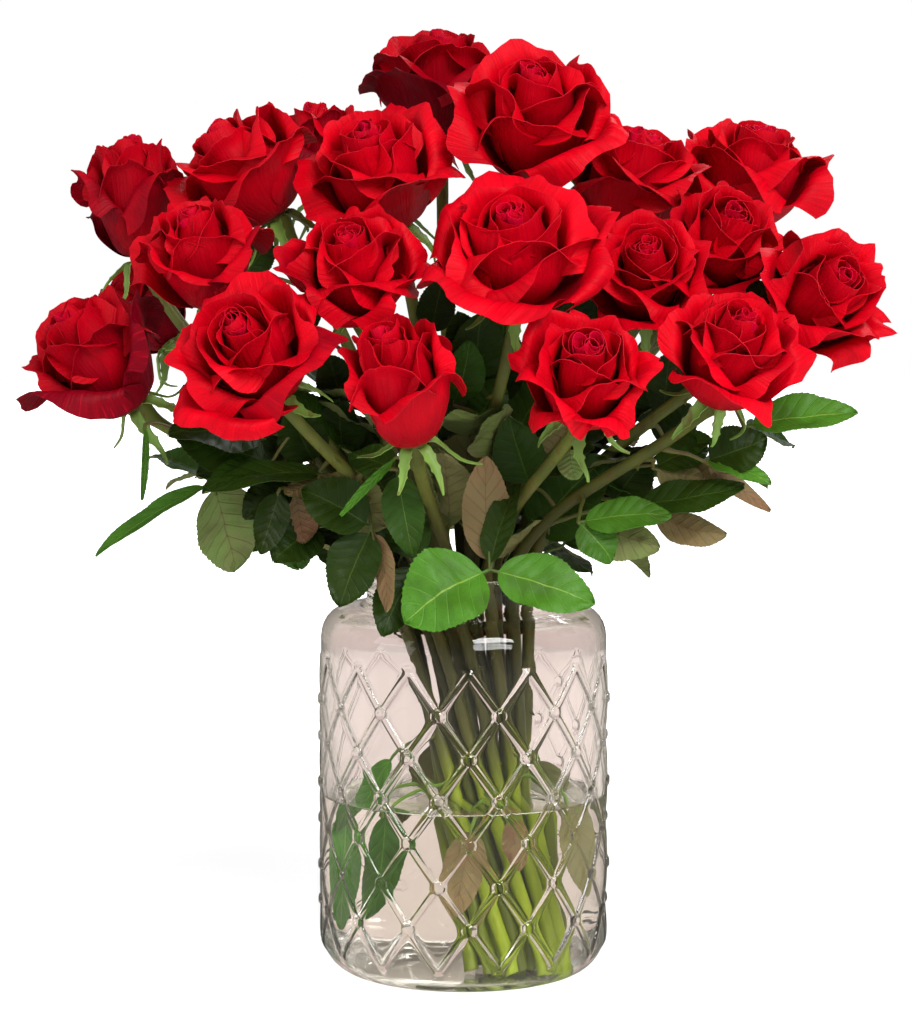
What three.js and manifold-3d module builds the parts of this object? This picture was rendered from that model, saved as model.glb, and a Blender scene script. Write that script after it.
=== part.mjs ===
// Red roses standing in a pressed-glass jar with a diamond lattice, part filled with water.
// Millimetres, +Z up. The origin is the centre of the jar's foot, on the surface that it stands on.
// The bouquet faces -Y. Every stem is straight in the jar, crosses the others in a spiral, and
// bends above the neck towards its own flower.
import * as THREE from "three";
import { mergeVertices } from "three/addons/utils/BufferGeometryUtils.js";
import Module from "manifold-3d";

const wasm = await Module();
wasm.setup();

// ---------------------------------------------------------------- driving dimensions
const JAR = {
  bodyRadius: 75.5, // plain glass between the raised ribs
  ribHeight: 2.6, // how far the lattice's crossings stand proud
  height: 212,
  wall: 3.6,
  floor: 6,
  footRadius: 57,
  patternLow: 18,
  patternHigh: 168,
  diamondsRound: 15,
  patternRows: 7, // half diamonds, one above another
  neckRadius: 51,
  neckLow: 196,
};
const WATER_LEVEL = 94;
const GAP = 0.3; // between pieces that touch

const STEM_RADIUS = 3.2;
const HIP_RADIUS = 6.4;
const HIP_LENGTH = 13;
const STEM_SIDES = 6;

const NECK_Z = 205;
const NECK_SHARE = 0.17; // a flower's distance from the axis, scaled into the neck
const NECK_SPACING = 13.4;
const NECK_REACH = 36;
const SPIRAL_TURN = THREE.MathUtils.degToRad(80);
const FOOT_SHARE = 0.72;
const FOOT_SHIFT = new THREE.Vector2(20, 0);

// Each rose: middle of its flower head, the way it faces, its spread and its height.
const ROSES = [
  { name: "a", head: [-189, -45, 323], faces: [-0.62, -0.42, 0.66], spread: 74, tall: 60 },
  { name: "b", head: [-182, 42, 407], faces: [-0.3, -0.05, 0.95], spread: 68, tall: 62 },
  { name: "c", head: [-115, 4, 423], faces: [-0.55, -0.2, 0.81], spread: 78, tall: 58 },
  { name: "d", head: [-136, -52, 379], faces: [-0.3, -0.45, 0.84], spread: 66, tall: 56 },
  { name: "e", head: [-177, 78, 350], faces: [-0.6, 0.25, 0.76], spread: 62, tall: 54 },
  { name: "f", head: [-104, -112, 332], faces: [-0.32, -0.68, 0.66], spread: 90, tall: 56 },
  { name: "g", head: [-55, -72, 372], faces: [-0.1, -0.6, 0.79], spread: 80, tall: 54 },
  { name: "h", head: [-44, -16, 420], faces: [-0.25, -0.5, 0.83], spread: 82, tall: 58 },
  { name: "i", head: [-78, 75, 439], faces: [-0.15, 0.1, 0.98], spread: 62, tall: 54 },
  { name: "j", head: [-9, 55, 474], faces: [0.05, -0.15, 0.98], spread: 70, tall: 62 },
  { name: "k", head: [38, -15, 447], faces: [-0.05, -0.62, 0.78], spread: 92, tall: 60 },
  { name: "l", head: [27, -88, 382], faces: [0.02, -0.58, 0.81], spread: 98, tall: 54 },
  { name: "m", head: [-28, -122, 316], faces: [-0.1, -0.48, 0.87], spread: 64, tall: 62 },
  { name: "n", head: [59, -124, 318], faces: [0.05, -0.8, 0.6], spread: 78, tall: 52 },
  { name: "o", head: [92, 32, 417], faces: [0.25, -0.15, 0.96], spread: 76, tall: 58 },
  { name: "p", head: [96, -52, 371], faces: [0.15, -0.7, 0.7], spread: 62, tall: 50 },
  { name: "q", head: [138, -6, 387], faces: [0.5, -0.45, 0.74], spread: 62, tall: 54 },
  { name: "r", head: [162, 70, 420], faces: [0.38, -0.2, 0.9], spread: 76, tall: 56 },
  { name: "s", head: [188, -44, 360], faces: [0.72, -0.4, 0.57], spread: 80, tall: 56 },
  { name: "t", head: [136, -98, 329], faces: [0.35, -0.62, 0.7], spread: 80, tall: 56 },
];

// Each compound leaf: the rose whose stem it grows on, the height of its foot there, the joint
// where its leaflets meet, and the leaflets as [tip, width, direction that the upper side faces].
const LEAVES = [
  { on: "n", z: 238, joint: [13, -72, 221], leaflets: [
    [[-30, -84, 195], 42, [-0.1, -0.9, 0.4]],
    [[66, -80, 204], 28, [0.1, -0.85, 0.5]],
    [[27, -58, 263], 16, [-0.5, -0.8, 0.1]],
    [[11, -66, 278], 23, [0.1, 0.95, -0.1]],
  ] },
  { on: "t", z: 256, joint: [58, -62, 244], leaflets: [
    [[105, -68, 248], 19, [0, -0.75, 0.65]],
    [[100, -56, 230], 23, [-0.1, 0.9, -0.4]],
    [[75, -66, 224], 19, [0.1, -0.85, 0.5]],
  ] },
  { on: "s", z: 256, joint: [96, -38, 246], leaflets: [
    [[136, -34, 235], 18, [0, 0.8, -0.6]],
    [[144, -46, 262], 15, [0, -0.5, 0.85]],
  ] },
  { on: "t", z: 277, joint: [97, -44, 270], leaflets: [
    [[124, -48, 264], 16, [0, 0.8, -0.5]],
    [[126, -30, 280], 18, [0.1, -0.8, 0.55]],
  ] },
  { on: "t", z: 283, joint: [123, -52, 274], leaflets: [
    [[155, -50, 286], 24, [0.1, -0.85, 0.5]],
    [[156, -62, 263], 13, [0, -0.6, 0.8]],
    [[160, -20, 246], 8, [0.2, 0.9, -0.3]],
  ] },
  { on: "s", z: 316, joint: [144, -38, 291], leaflets: [
    [[202, -44, 298], 22, [0.1, -0.7, 0.7]],
    [[172, -8, 279], 18, [0.1, -0.5, 0.8]],
  ] },
  { on: "b", z: 286, joint: [-131, -14, 261], leaflets: [
    [[-192, -20, 222], 13, [0, -0.45, 0.9]],
    [[-129, -44, 216], 30, [0.3, 0.9, 0.1]],
    [[-168, 20, 271], 19, [0, -0.3, 0.95]],
  ] },
  { on: "d", z: 292, joint: [-100, -26, 271], leaflets: [
    [[-151, -30, 290], 30, [-0.1, -0.8, 0.6]],
    [[-133, -60, 258], 14, [0, -0.6, 0.8]],
  ] },
  { on: "d", z: 274, joint: [-88, -22, 244], leaflets: [
    [[-85, -34, 217], 25, [-0.2, -0.85, -0.3]],
    [[-115, -10, 226], 21, [-0.3, -0.7, 0.5]],
  ] },
  { on: "f", z: 256, joint: [-47, -58, 241], leaflets: [
    [[-83, -56, 260], 24, [-0.1, -0.85, 0.5]],
    [[-63, -66, 201], 26, [-0.3, -0.9, 0.1]],
    [[-39, -88, 201], 12, [0.6, 0.75, 0]],
  ] },
  { on: "f", z: 265, joint: [-34, -64, 271], leaflets: [
    [[-26, -70, 232], 19, [-0.1, -0.95, 0.1]],
    [[-59, -40, 277], 18, [-0.3, -0.6, 0.7]],
  ] },
  { on: "f", z: 223, joint: [-22, -54, 222], leaflets: [
    [[-41, -74, 187], 23, [-0.2, -0.95, 0.1]],
    [[-35, -38, 254], 21, [-0.1, -0.9, 0.3]],
  ] },
  { on: "e", z: 253, joint: [-60, 62, 238], leaflets: [
    [[-104, 92, 226], 30, [-0.3, 0.4, 0.85]],
    [[-62, 108, 232], 26, [0, 0.5, 0.8]],
    [[-92, 60, 258], 24, [-0.3, 0.2, 0.9]],
  ] },
  { on: "j", z: 241, joint: [10, 72, 236], leaflets: [
    [[-14, 118, 222], 32, [0, 0.6, 0.8]],
    [[44, 112, 228], 28, [0.1, 0.6, 0.8]],
    [[8, 84, 270], 24, [0, 0.9, 0.3]],
  ] },
  { on: "j", z: 244, joint: [70, 58, 240], leaflets: [
    [[112, 88, 230], 32, [0.3, 0.5, 0.8]],
    [[82, 104, 246], 26, [0.1, 0.6, 0.8]],
    [[112, 50, 258], 26, [0.4, 0.1, 0.9]],
  ] },
  { on: "e", z: 277, joint: [-112, 30, 262], leaflets: [
    [[-160, 36, 252], 30, [-0.3, 0.1, 0.9]],
    [[-128, 72, 258], 26, [-0.2, 0.5, 0.8]],
    [[-140, -4, 262], 24, [-0.3, -0.3, 0.9]],
  ] },
  { on: "s", z: 292, joint: [114, 14, 262], leaflets: [
    [[162, 20, 256], 30, [0.3, 0.1, 0.9]],
    [[130, 58, 266], 26, [0.2, 0.5, 0.8]],
    [[150, -18, 270], 24, [0.3, -0.3, 0.9]],
  ] },
  { on: "h", z: 292, joint: [-20, 70, 286], leaflets: [
    [[-56, 104, 280], 28, [-0.2, 0.5, 0.8]],
    [[16, 108, 284], 28, [0.1, 0.6, 0.8]],
    [[-18, 74, 318], 24, [0, 0.9, 0.2]],
  ] },
];

// ---------------------------------------------------------------- solids
const vec = (a) => new THREE.Vector3(...a);

/** A closed mesh from points and triangles, turned so that its faces point out. */
function closedMesh(points, triangles) {
  const geometry = new THREE.BufferGeometry();
  geometry.setAttribute("position", new THREE.Float32BufferAttribute(points.flatMap((p) => p.toArray()), 3));
  let volume = 0;
  for (const [a, b, c] of triangles) {
    volume += points[a].dot(new THREE.Vector3().crossVectors(points[b], points[c]));
  }
  geometry.setIndex(triangles.flatMap(([a, b, c]) => (volume > 0 ? [a, b, c] : [a, c, b])));
  return geometry;
}

/** Joins rings of equally many points, with a fan of triangles over each end. */
function ringSolid(rings, diagonal = () => false) {
  const count = rings[0].length;
  const points = rings.flat();
  const triangles = [];
  for (let j = 0; j + 1 < rings.length; j++) {
    for (let i = 0; i < count; i++) {
      const next = (i + 1) % count;
      const a = j * count + i;
      const b = j * count + next;
      const c = a + count;
      const d = b + count;
      if (diagonal(i, j)) {
        triangles.push([a, b, d], [a, d, c]);
      } else {
        triangles.push([a, b, c], [b, d, c]);
      }
    }
  }
  for (const [ring, first] of [[rings[0], 0], [rings.at(-1), (rings.length - 1) * count]]) {
    const middle = ring.reduce((sum, p) => sum.add(p), new THREE.Vector3()).divideScalar(count);
    const hub = points.push(middle) - 1;
    for (let i = 0; i < count; i++) {
      const a = first + i;
      const b = first + ((i + 1) % count);
      triangles.push(first === 0 ? [b, a, hub] : [a, b, hub]);
    }
  }
  return closedMesh(points, triangles);
}

/** A ring of points round the Z axis. */
function levelRing(radius, z, count) {
  return Array.from({ length: count }, (_, i) => {
    const turn = (2 * Math.PI * i) / count;
    const r = typeof radius === "function" ? radius(i) : radius;
    return new THREE.Vector3(r * Math.cos(turn), r * Math.sin(turn), z);
  });
}

/** A round bar along a line of points, with its own radius at each, cut square to its end. */
function bar(line, radii, sides, end) {
  let across = new THREE.Vector3(1, 0, 0);
  const rings = line.map((p, k) => {
    const last = k === line.length - 1;
    const along = last && end ? end : line[last ? k : k + 1].clone().sub(line[Math.max(k - 1, 0)]).normalize();
    across = across.clone().addScaledVector(along, -across.dot(along)).normalize();
    const side = new THREE.Vector3().crossVectors(along, across);
    return Array.from({ length: sides }, (_, i) => {
      const turn = (2 * Math.PI * i) / sides;
      return p.clone()
        .addScaledVector(across, radii[k] * Math.cos(turn))
        .addScaledVector(side, radii[k] * Math.sin(turn));
    });
  });
  return ringSolid(rings);
}

/** A three.js geometry as a solid that can be joined and cut. */
function solidOf(geometry) {
  const bare = mergeVertices(geometry, 1e-3);
  return new wasm.Manifold(
    new wasm.Mesh({
      numProp: 3,
      vertProperties: bare.attributes.position.array,
      triVerts: new Uint32Array(bare.index.array),
    }),
  );
}

/** A joined or cut solid as a three.js geometry. */
function geometryOf(solid) {
  const mesh = solid.getMesh();
  return new THREE.BufferGeometry()
    .setAttribute("position", new THREE.BufferAttribute(new Float32Array(mesh.vertProperties), 3))
    .setIndex(new THREE.BufferAttribute(new Uint32Array(mesh.triVerts), 1));
}

// ---------------------------------------------------------------- where the stems run
/** Where each stem crosses the neck: the flowers' plan, drawn in and pushed apart. */
function neckPlaces() {
  const places = ROSES.map((rose) => new THREE.Vector2(rose.head[0], rose.head[1]).multiplyScalar(NECK_SHARE));
  for (let round = 0; round < 400; round++) {
    for (let i = 0; i < places.length; i++) {
      for (let j = i + 1; j < places.length; j++) {
        const apart = places[j].clone().sub(places[i]);
        const short = NECK_SPACING - apart.length();
        if (short > 0) {
          apart.setLength(short / 2);
          places[i].sub(apart);
          places[j].add(apart);
        }
      }
    }
    places.forEach((p) => p.clampLength(0, NECK_REACH));
  }
  return places;
}

/** The lie of one rose: its axis, its hip, and the curve of its stem above the neck. */
function layStem(rose, place) {
  const axis = vec(rose.faces).normalize();
  const hip = vec(rose.head).addScaledVector(axis, -rose.tall / 2);
  const neck = new THREE.Vector3(place.x, place.y, NECK_Z);
  const down = place.clone().rotateAround(new THREE.Vector2(), SPIRAL_TURN).multiplyScalar(FOOT_SHARE).add(FOOT_SHIFT);
  const lean = Math.atan2(down.distanceTo(place), NECK_Z - JAR.floor);
  const foot = new THREE.Vector3(down.x, down.y, JAR.floor + GAP + STEM_RADIUS * Math.sin(lean));
  const reach = hip.distanceTo(neck);
  const upward = neck.clone().sub(foot).normalize();
  const top = hip.clone().addScaledVector(axis, -GAP / 2);
  const curve = new THREE.CubicBezierCurve3(
    neck,
    neck.clone().addScaledVector(upward, 0.3 * reach),
    top.clone().addScaledVector(axis, -0.3 * reach),
    top,
  );
  return { ...rose, axis, hip, foot, neck, curve };
}

const places = neckPlaces();
const roses = ROSES.map((rose, i) => layStem(rose, places[i]));
const roseNamed = (name) => roses.find((rose) => rose.name === name);

// ---------------------------------------------------------------- stems with their hips
const HIP_SWELL = [[1.9, 0.0], [1.1, 0.25], [0.45, 0.85], [0.0, 1.0]]; // [hip lengths below the top, share of the swelling]

/** Stem and hip in one: the stem's end swells into the hip that the petals stand on. */
function stemSolid(rose, grow = 0) {
  const line = [rose.foot, rose.neck];
  const radii = [STEM_RADIUS, STEM_RADIUS];
  const length = rose.curve.getLength();
  const bends = 5;
  for (let k = 1; k <= bends; k++) {
    line.push(rose.curve.getPointAt((k / (bends + 1)) * (1 - (1.9 * HIP_LENGTH) / length)));
    radii.push(STEM_RADIUS);
  }
  for (const [below, share] of HIP_SWELL) {
    line.push(rose.curve.getPointAt(1 - (below * HIP_LENGTH) / length));
    radii.push(STEM_RADIUS + share * (HIP_RADIUS - STEM_RADIUS));
  }
  return bar(line, radii.map((r) => r + grow), STEM_SIDES, rose.axis);
}

// ---------------------------------------------------------------- flower heads
// [share of the half spread on a petal's middle, between two petals, share of the height]
const HEAD_RINGS = [
  [0.15, 0.15, 0],
  [0.46, 0.42, 0.06],
  [0.74, 0.66, 0.28],
  [0.86, 0.78, 0.55],
  [1.0, 0.8, 0.76],
  [0.66, 0.62, 0.9],
  [0.26, 0.24, 1.0],
];
const PETALS_ROUND = 5;

/** The outer shape of a flower head: a cup of petals, lobed at its rim, with a high middle. */
function headSolid(rose) {
  const rings = HEAD_RINGS.map(([onPetal, between, up]) =>
    levelRing((i) => (rose.spread / 2) * (i % 2 === 0 ? onPetal : between), up * rose.tall, 2 * PETALS_ROUND),
  );
  return ringSolid(rings);
}

// ---------------------------------------------------------------- leaves
const LEAF_THICK = 0.9;
const RACHIS_RADIUS = 1.3;
// [share of the length, share of the half width]
const LEAFLET_OUTLINE = [[0, 0.07], [0.14, 0.1], [0.3, 0.78], [0.52, 1], [0.78, 0.68], [1, 0.06]];
const LEAFLET_FOLD = 0.22; // how far the margins rise over the midrib, of the half width
const LEAFLET_ARCH = 0.04; // how far its middle rises over the line from joint to tip, of the length

/** One leaflet: a thin blade folded along its midrib and arched from joint to tip. */
function leafletSolid(joint, tip, width, top) {
  const along = tip.clone().sub(joint);
  const length = along.length();
  along.normalize();
  const side = new THREE.Vector3().crossVectors(top, along).normalize();
  const face = new THREE.Vector3().crossVectors(along, side);
  const rings = LEAFLET_OUTLINE.map(([far, wide]) => {
    const half = (wide * width) / 2;
    const sag = 4 * LEAFLET_ARCH * length * far * (1 - far);
    const at = (across, up) =>
      joint.clone()
        .addScaledVector(along, far * length)
        .addScaledVector(side, across)
        .addScaledVector(face, sag + up);
    const lift = LEAFLET_FOLD * half;
    return [
      at(-half, lift - LEAF_THICK / 2), at(0, -LEAF_THICK / 2), at(half, lift - LEAF_THICK / 2),
      at(half, lift + LEAF_THICK / 2), at(0, LEAF_THICK / 2), at(-half, lift + LEAF_THICK / 2),
    ];
  });
  return ringSolid(rings);
}

/** A point of a stem above or below the neck, by its height. */
function stemAt(rose, z) {
  if (z <= NECK_Z) {
    const share = (z - rose.foot.z) / (rose.neck.z - rose.foot.z);
    return { point: rose.foot.clone().lerp(rose.neck, share), along: rose.neck.clone().sub(rose.foot).normalize() };
  }
  let low = 0;
  let high = 1;
  for (let k = 0; k < 30; k++) {
    const mid = (low + high) / 2;
    if (rose.curve.getPoint(mid).z < z) low = mid;
    else high = mid;
  }
  return { point: rose.curve.getPoint(low), along: rose.curve.getTangent(low) };
}

/** A compound leaf: a stalk from the stem's side, and its leaflets. */
function leafSolid(leaf) {
  const { point, along } = stemAt(roseNamed(leaf.on), leaf.z);
  const joint = vec(leaf.joint);
  const out = joint.clone().sub(point);
  const sideways = out.clone().addScaledVector(along, -out.dot(along)).normalize();
  const foot = point.clone().addScaledVector(sideways, STEM_RADIUS + GAP);
  const knee = point.clone().addScaledVector(sideways, STEM_RADIUS + 4).addScaledVector(along, 2);
  const middle = knee.clone().lerp(joint, 0.5).add(new THREE.Vector3(0, 0, 0.04 * out.length()));
  const stalk = bar([foot, knee, middle, joint], [1.5, 1.4, RACHIS_RADIUS, RACHIS_RADIUS], STEM_SIDES);
  return leaf.leaflets.reduce(
    (whole, [tip, width, top]) => whole.add(solidOf(leafletSolid(joint, vec(tip), width, vec(top)))),
    solidOf(stalk),
  );
}

// ---------------------------------------------------------------- jar and water
const COLUMNS = 2 * JAR.diamondsRound;

/** The jar's outside from the foot up, as [radius, height], with the lattice left out. */
function jarOutline() {
  const cornerLow = Array.from({ length: 4 }, (_, k) => {
    const turn = (Math.PI / 2) * ((k + 1) / 5);
    const reach = JAR.bodyRadius - JAR.footRadius;
    return [JAR.footRadius + reach * Math.sin(turn), JAR.patternLow * (1 - Math.cos(turn))];
  });
  return {
    below: [[JAR.footRadius, 0], ...cornerLow],
    above: [
      [JAR.bodyRadius, 182], [JAR.bodyRadius - 2.5, 189], [JAR.bodyRadius - 8, 193.5], [JAR.neckRadius + 6, JAR.neckLow - 0.6],
      [JAR.neckRadius, JAR.neckLow + 1.5], [JAR.neckRadius, 206], [JAR.neckRadius + 1.6, 209], [JAR.neckRadius + 0.6, JAR.height],
    ],
    inside: [
      [JAR.neckRadius - 2.6, JAR.height], [JAR.neckRadius - JAR.wall, 208], [JAR.neckRadius - JAR.wall, JAR.neckLow - 2],
      [JAR.neckRadius + 4, 191.5], [JAR.bodyRadius - 11, 189], [JAR.bodyRadius - JAR.wall, 181],
      [JAR.bodyRadius - JAR.wall, WATER_LEVEL], [JAR.bodyRadius - JAR.wall, 26], [JAR.bodyRadius - 7, 13],
      [JAR.footRadius + 2, JAR.floor],
    ],
  };
}

/** The jar. The ribs of the lattice are the mesh's own diagonals, raised where they cross. */
function jarSolid() {
  const { below, above, inside } = jarOutline();
  const rings = below.map(([r, z]) => levelRing(r, z, COLUMNS));
  const firstPatternRing = rings.length;
  const rise = JAR.patternHigh - JAR.patternLow;
  for (let row = 0; row <= JAR.patternRows; row++) {
    const crossing = (i) => (i + row + firstPatternRing) % 2 === 0 && row > 0 && row < JAR.patternRows;
    rings.push(levelRing((i) => JAR.bodyRadius + (crossing(i) ? JAR.ribHeight : 0),
      JAR.patternLow + (rise * row) / JAR.patternRows, COLUMNS));
  }
  for (const [r, z] of [...above, ...inside]) rings.push(levelRing(r, z, COLUMNS));
  return ringSolid(rings, (i, j) => (i + j) % 2 === 0);
}

/** The water: it fills the jar to its level, round the stems. */
function waterSolid() {
  const r = JAR.bodyRadius - JAR.wall - GAP;
  const rings = [
    [JAR.footRadius + 1.4, JAR.floor + GAP], [JAR.bodyRadius - 7.6, 13.2], [r, 26.2], [r, WATER_LEVEL],
  ].map(([radius, z]) => levelRing(radius, z, COLUMNS));
  return roses.reduce((water, rose) => water.subtract(solidOf(stemSolid(rose, GAP))), solidOf(ringSolid(rings)));
}

// ---------------------------------------------------------------- the parts
const glass = new THREE.MeshStandardMaterial({ color: 0xe9f0ec, roughness: 0.05, transparent: true, opacity: 0.35 });
const waterLook = new THREE.MeshStandardMaterial({ color: 0xe4efe6, roughness: 0.02, transparent: true, opacity: 0.3 });
const petalRed = new THREE.MeshStandardMaterial({ color: 0xc80818, roughness: 0.55 });
const stemGreen = new THREE.MeshStandardMaterial({ color: 0x5f7d2a, roughness: 0.6 });
const leafGreen = new THREE.MeshStandardMaterial({ color: 0x2f6a24, roughness: 0.5 });

const bouquet = new THREE.Group();

function addPart(name, geometry, material) {
  const mesh = new THREE.Mesh(geometry, material);
  mesh.name = name;
  bouquet.add(mesh);
  return mesh;
}

addPart("glass_vase", jarSolid(), glass);
addPart("water", geometryOf(waterSolid()), waterLook);

const UP = new THREE.Vector3(0, 0, 1);
for (const rose of roses) {
  addPart(`stem_${rose.name}`, stemSolid(rose), stemGreen);
  const head = addPart(`rose_${rose.name}`, headSolid(rose), petalRed);
  head.quaternion.setFromUnitVectors(UP, rose.axis);
  head.position.copy(rose.hip).addScaledVector(rose.axis, GAP / 2);
}
LEAVES.forEach((leaf, k) => {
  addPart(`leaf_${String(k + 1).padStart(2, "0")}`, geometryOf(leafSolid(leaf)), leafGreen);
});

export default bouquet;
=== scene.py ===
"""Red roses in a pressed-glass jar: the looks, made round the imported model.

Lengths are metres; MM turns the millimetres of the drawing into them.
"""
import math

import bpy
import numpy as np
from mathutils import Matrix, Vector


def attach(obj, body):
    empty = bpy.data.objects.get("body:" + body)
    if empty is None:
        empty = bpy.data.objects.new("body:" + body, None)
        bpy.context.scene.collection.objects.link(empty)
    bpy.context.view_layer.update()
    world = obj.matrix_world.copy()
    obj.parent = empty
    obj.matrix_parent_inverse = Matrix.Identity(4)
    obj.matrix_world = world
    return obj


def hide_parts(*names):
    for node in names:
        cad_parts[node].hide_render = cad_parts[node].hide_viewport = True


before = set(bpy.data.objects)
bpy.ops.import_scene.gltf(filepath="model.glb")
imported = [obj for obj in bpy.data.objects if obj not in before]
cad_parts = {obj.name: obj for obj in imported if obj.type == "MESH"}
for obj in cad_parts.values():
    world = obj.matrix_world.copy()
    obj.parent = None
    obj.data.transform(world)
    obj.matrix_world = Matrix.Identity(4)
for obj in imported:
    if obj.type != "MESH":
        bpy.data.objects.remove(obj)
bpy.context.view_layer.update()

scene = bpy.context.scene
MM = 0.001
BODY = "root"
DEGREE = math.pi / 180
GOLDEN_ANGLE = 2.39996  # from one petal or leaf of a spiral to the next
AGE_STEP = 0.618  # spreads the stems' ages evenly over 0 to 1, in no order

# ------------------------------------------------------------------ the drawing
JAR = dict(
    body=75.5, height=212.0, wall=3.6, floor=6.0, foot=57.0,
    neck=51.0, neck_low=196.0, diamonds=15, lattice_low=13.7, lattice_high=168.0,
    diamond_tall=44.1, lattice_turn=math.radians(271.9),
)
WATER_LEVEL = 94.0
GAP = 0.3
STEM_RADIUS = 3.2
HIP_RADIUS = 6.4
HIP_LENGTH = 13.0
HIP_SWELL = [(1.9, 0.0), (1.5, 0.03), (1.1, 0.2), (0.75, 0.62), (0.45, 0.9), (0.2, 1.0), (0.0, 0.97)]

NECK_Z = 205.0
NECK_SHARE = 0.17
NECK_SPACING = 13.4
NECK_REACH = 36.0
SPIRAL_TURN = math.radians(80)
FOOT_SHARE = 0.72
FOOT_SHIFT = Vector((20, 0))

# name, head, faces, spread, tall, openness, turn of the first petal, and how far its red is darkened:
# partly a deeper red, partly painted shade that dims the head
ROSES = [
    ("a", (-189, -45, 323), (-0.62, -0.42, 0.66), 80, 60, 0.94, 0.35, 0.55),
    ("b", (-182, 42, 407), (-0.3, -0.05, 0.95), 62, 62, 0.95, 0.65, 0.6),
    ("c", (-115, 4, 423), (-0.55, -0.2, 0.81), 90, 58, 0.93, 0.2, 0.15),
    ("d", (-136, -52, 379), (-0.3, -0.45, 0.84), 78, 56, 0.92, 0.7, 0.2),
    ("e", (-177, 78, 350), (-0.6, 0.25, 0.76), 60, 54, 0.96, 0.62, 0.75),
    ("f", (-104, -112, 332), (-0.32, -0.68, 0.66), 90, 56, 1, 0.0, 0.2),
    ("g", (-55, -72, 372), (-0.1, -0.6, 0.79), 86, 54, 0.95, 0.3, 0.1),
    ("h", (-44, -16, 420), (-0.25, -0.5, 0.83), 92, 58, 0.95, 0.6, 0.05),
    ("i", (-78, 75, 439), (-0.15, 0.1, 0.98), 62, 54, 0.88, 0.9, 0.3),
    ("j", (-9, 55, 474), (0.05, -0.15, 0.98), 90, 62, 0.98, 0.45, 0.7),
    ("k", (38, -15, 447), (-0.05, -0.62, 0.78), 88, 60, 0.97, 0.62, 0),
    ("l", (27, -88, 382), (0.02, -0.58, 0.81), 109, 54, 1.0, 0.4, 0),
    ("m", (-28, -122, 316), (-0.1, -0.48, 0.87), 64, 62, 0.84, 0.6, 0.12),
    ("n", (59, -124, 318), (0.05, -0.8, 0.6), 73, 52, 1.0, 0.1, 0),
    ("o", (92, 32, 417), (0.25, -0.15, 0.96), 98, 58, 0.93, 0.5, 0),
    ("p", (96, -52, 371), (0.15, -0.7, 0.7), 84, 50, 0.98, 0.15, 0.05),
    ("q", (138, -6, 387), (0.5, -0.45, 0.74), 80, 54, 0.9, 0.3, 0.15),
    ("r", (162, 70, 420), (0.38, -0.2, 0.9), 88, 56, 0.93, 0.81, 0.1),
    ("s", (188, -44, 360), (0.72, -0.4, 0.57), 76, 56, 1.0, 0.33, 0.15),
    ("t", (136, -98, 329), (0.35, -0.62, 0.7), 80, 56, 0.96, 0.5, 0.05),
]


# a head's height against the drawing's, and how it turns on its hip
HEAD_HEIGHT = {"j": 0.9, "k": 1.1, "m": 1.08, "i": 0.9, "b": 1.04, "e": 0.88, "a": 1.06, "r": 1.04,
               "n": 1.08, "h": 1.04}
NOD = {"b": (0.2, 0, 0), "d": (0.1, 0, 0), "s": (-0.46, -0.02, -0.28), "j": (-0.1, 0, -0.05),
       "o": (-0.05, -0.15, 0), "r": (-0.22, -0.05, -0.1), "q": (-0.28, 0, -0.3), "a": (0, 0, 0.12),
       "t": (-0.14, 0, 0.06), "p": (-0.14, 0, -0.1), "n": (0, 0, 0.12), "m": (-0.1, 0, 0),
       "l": (-0.08, 0, 0)}

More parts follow.
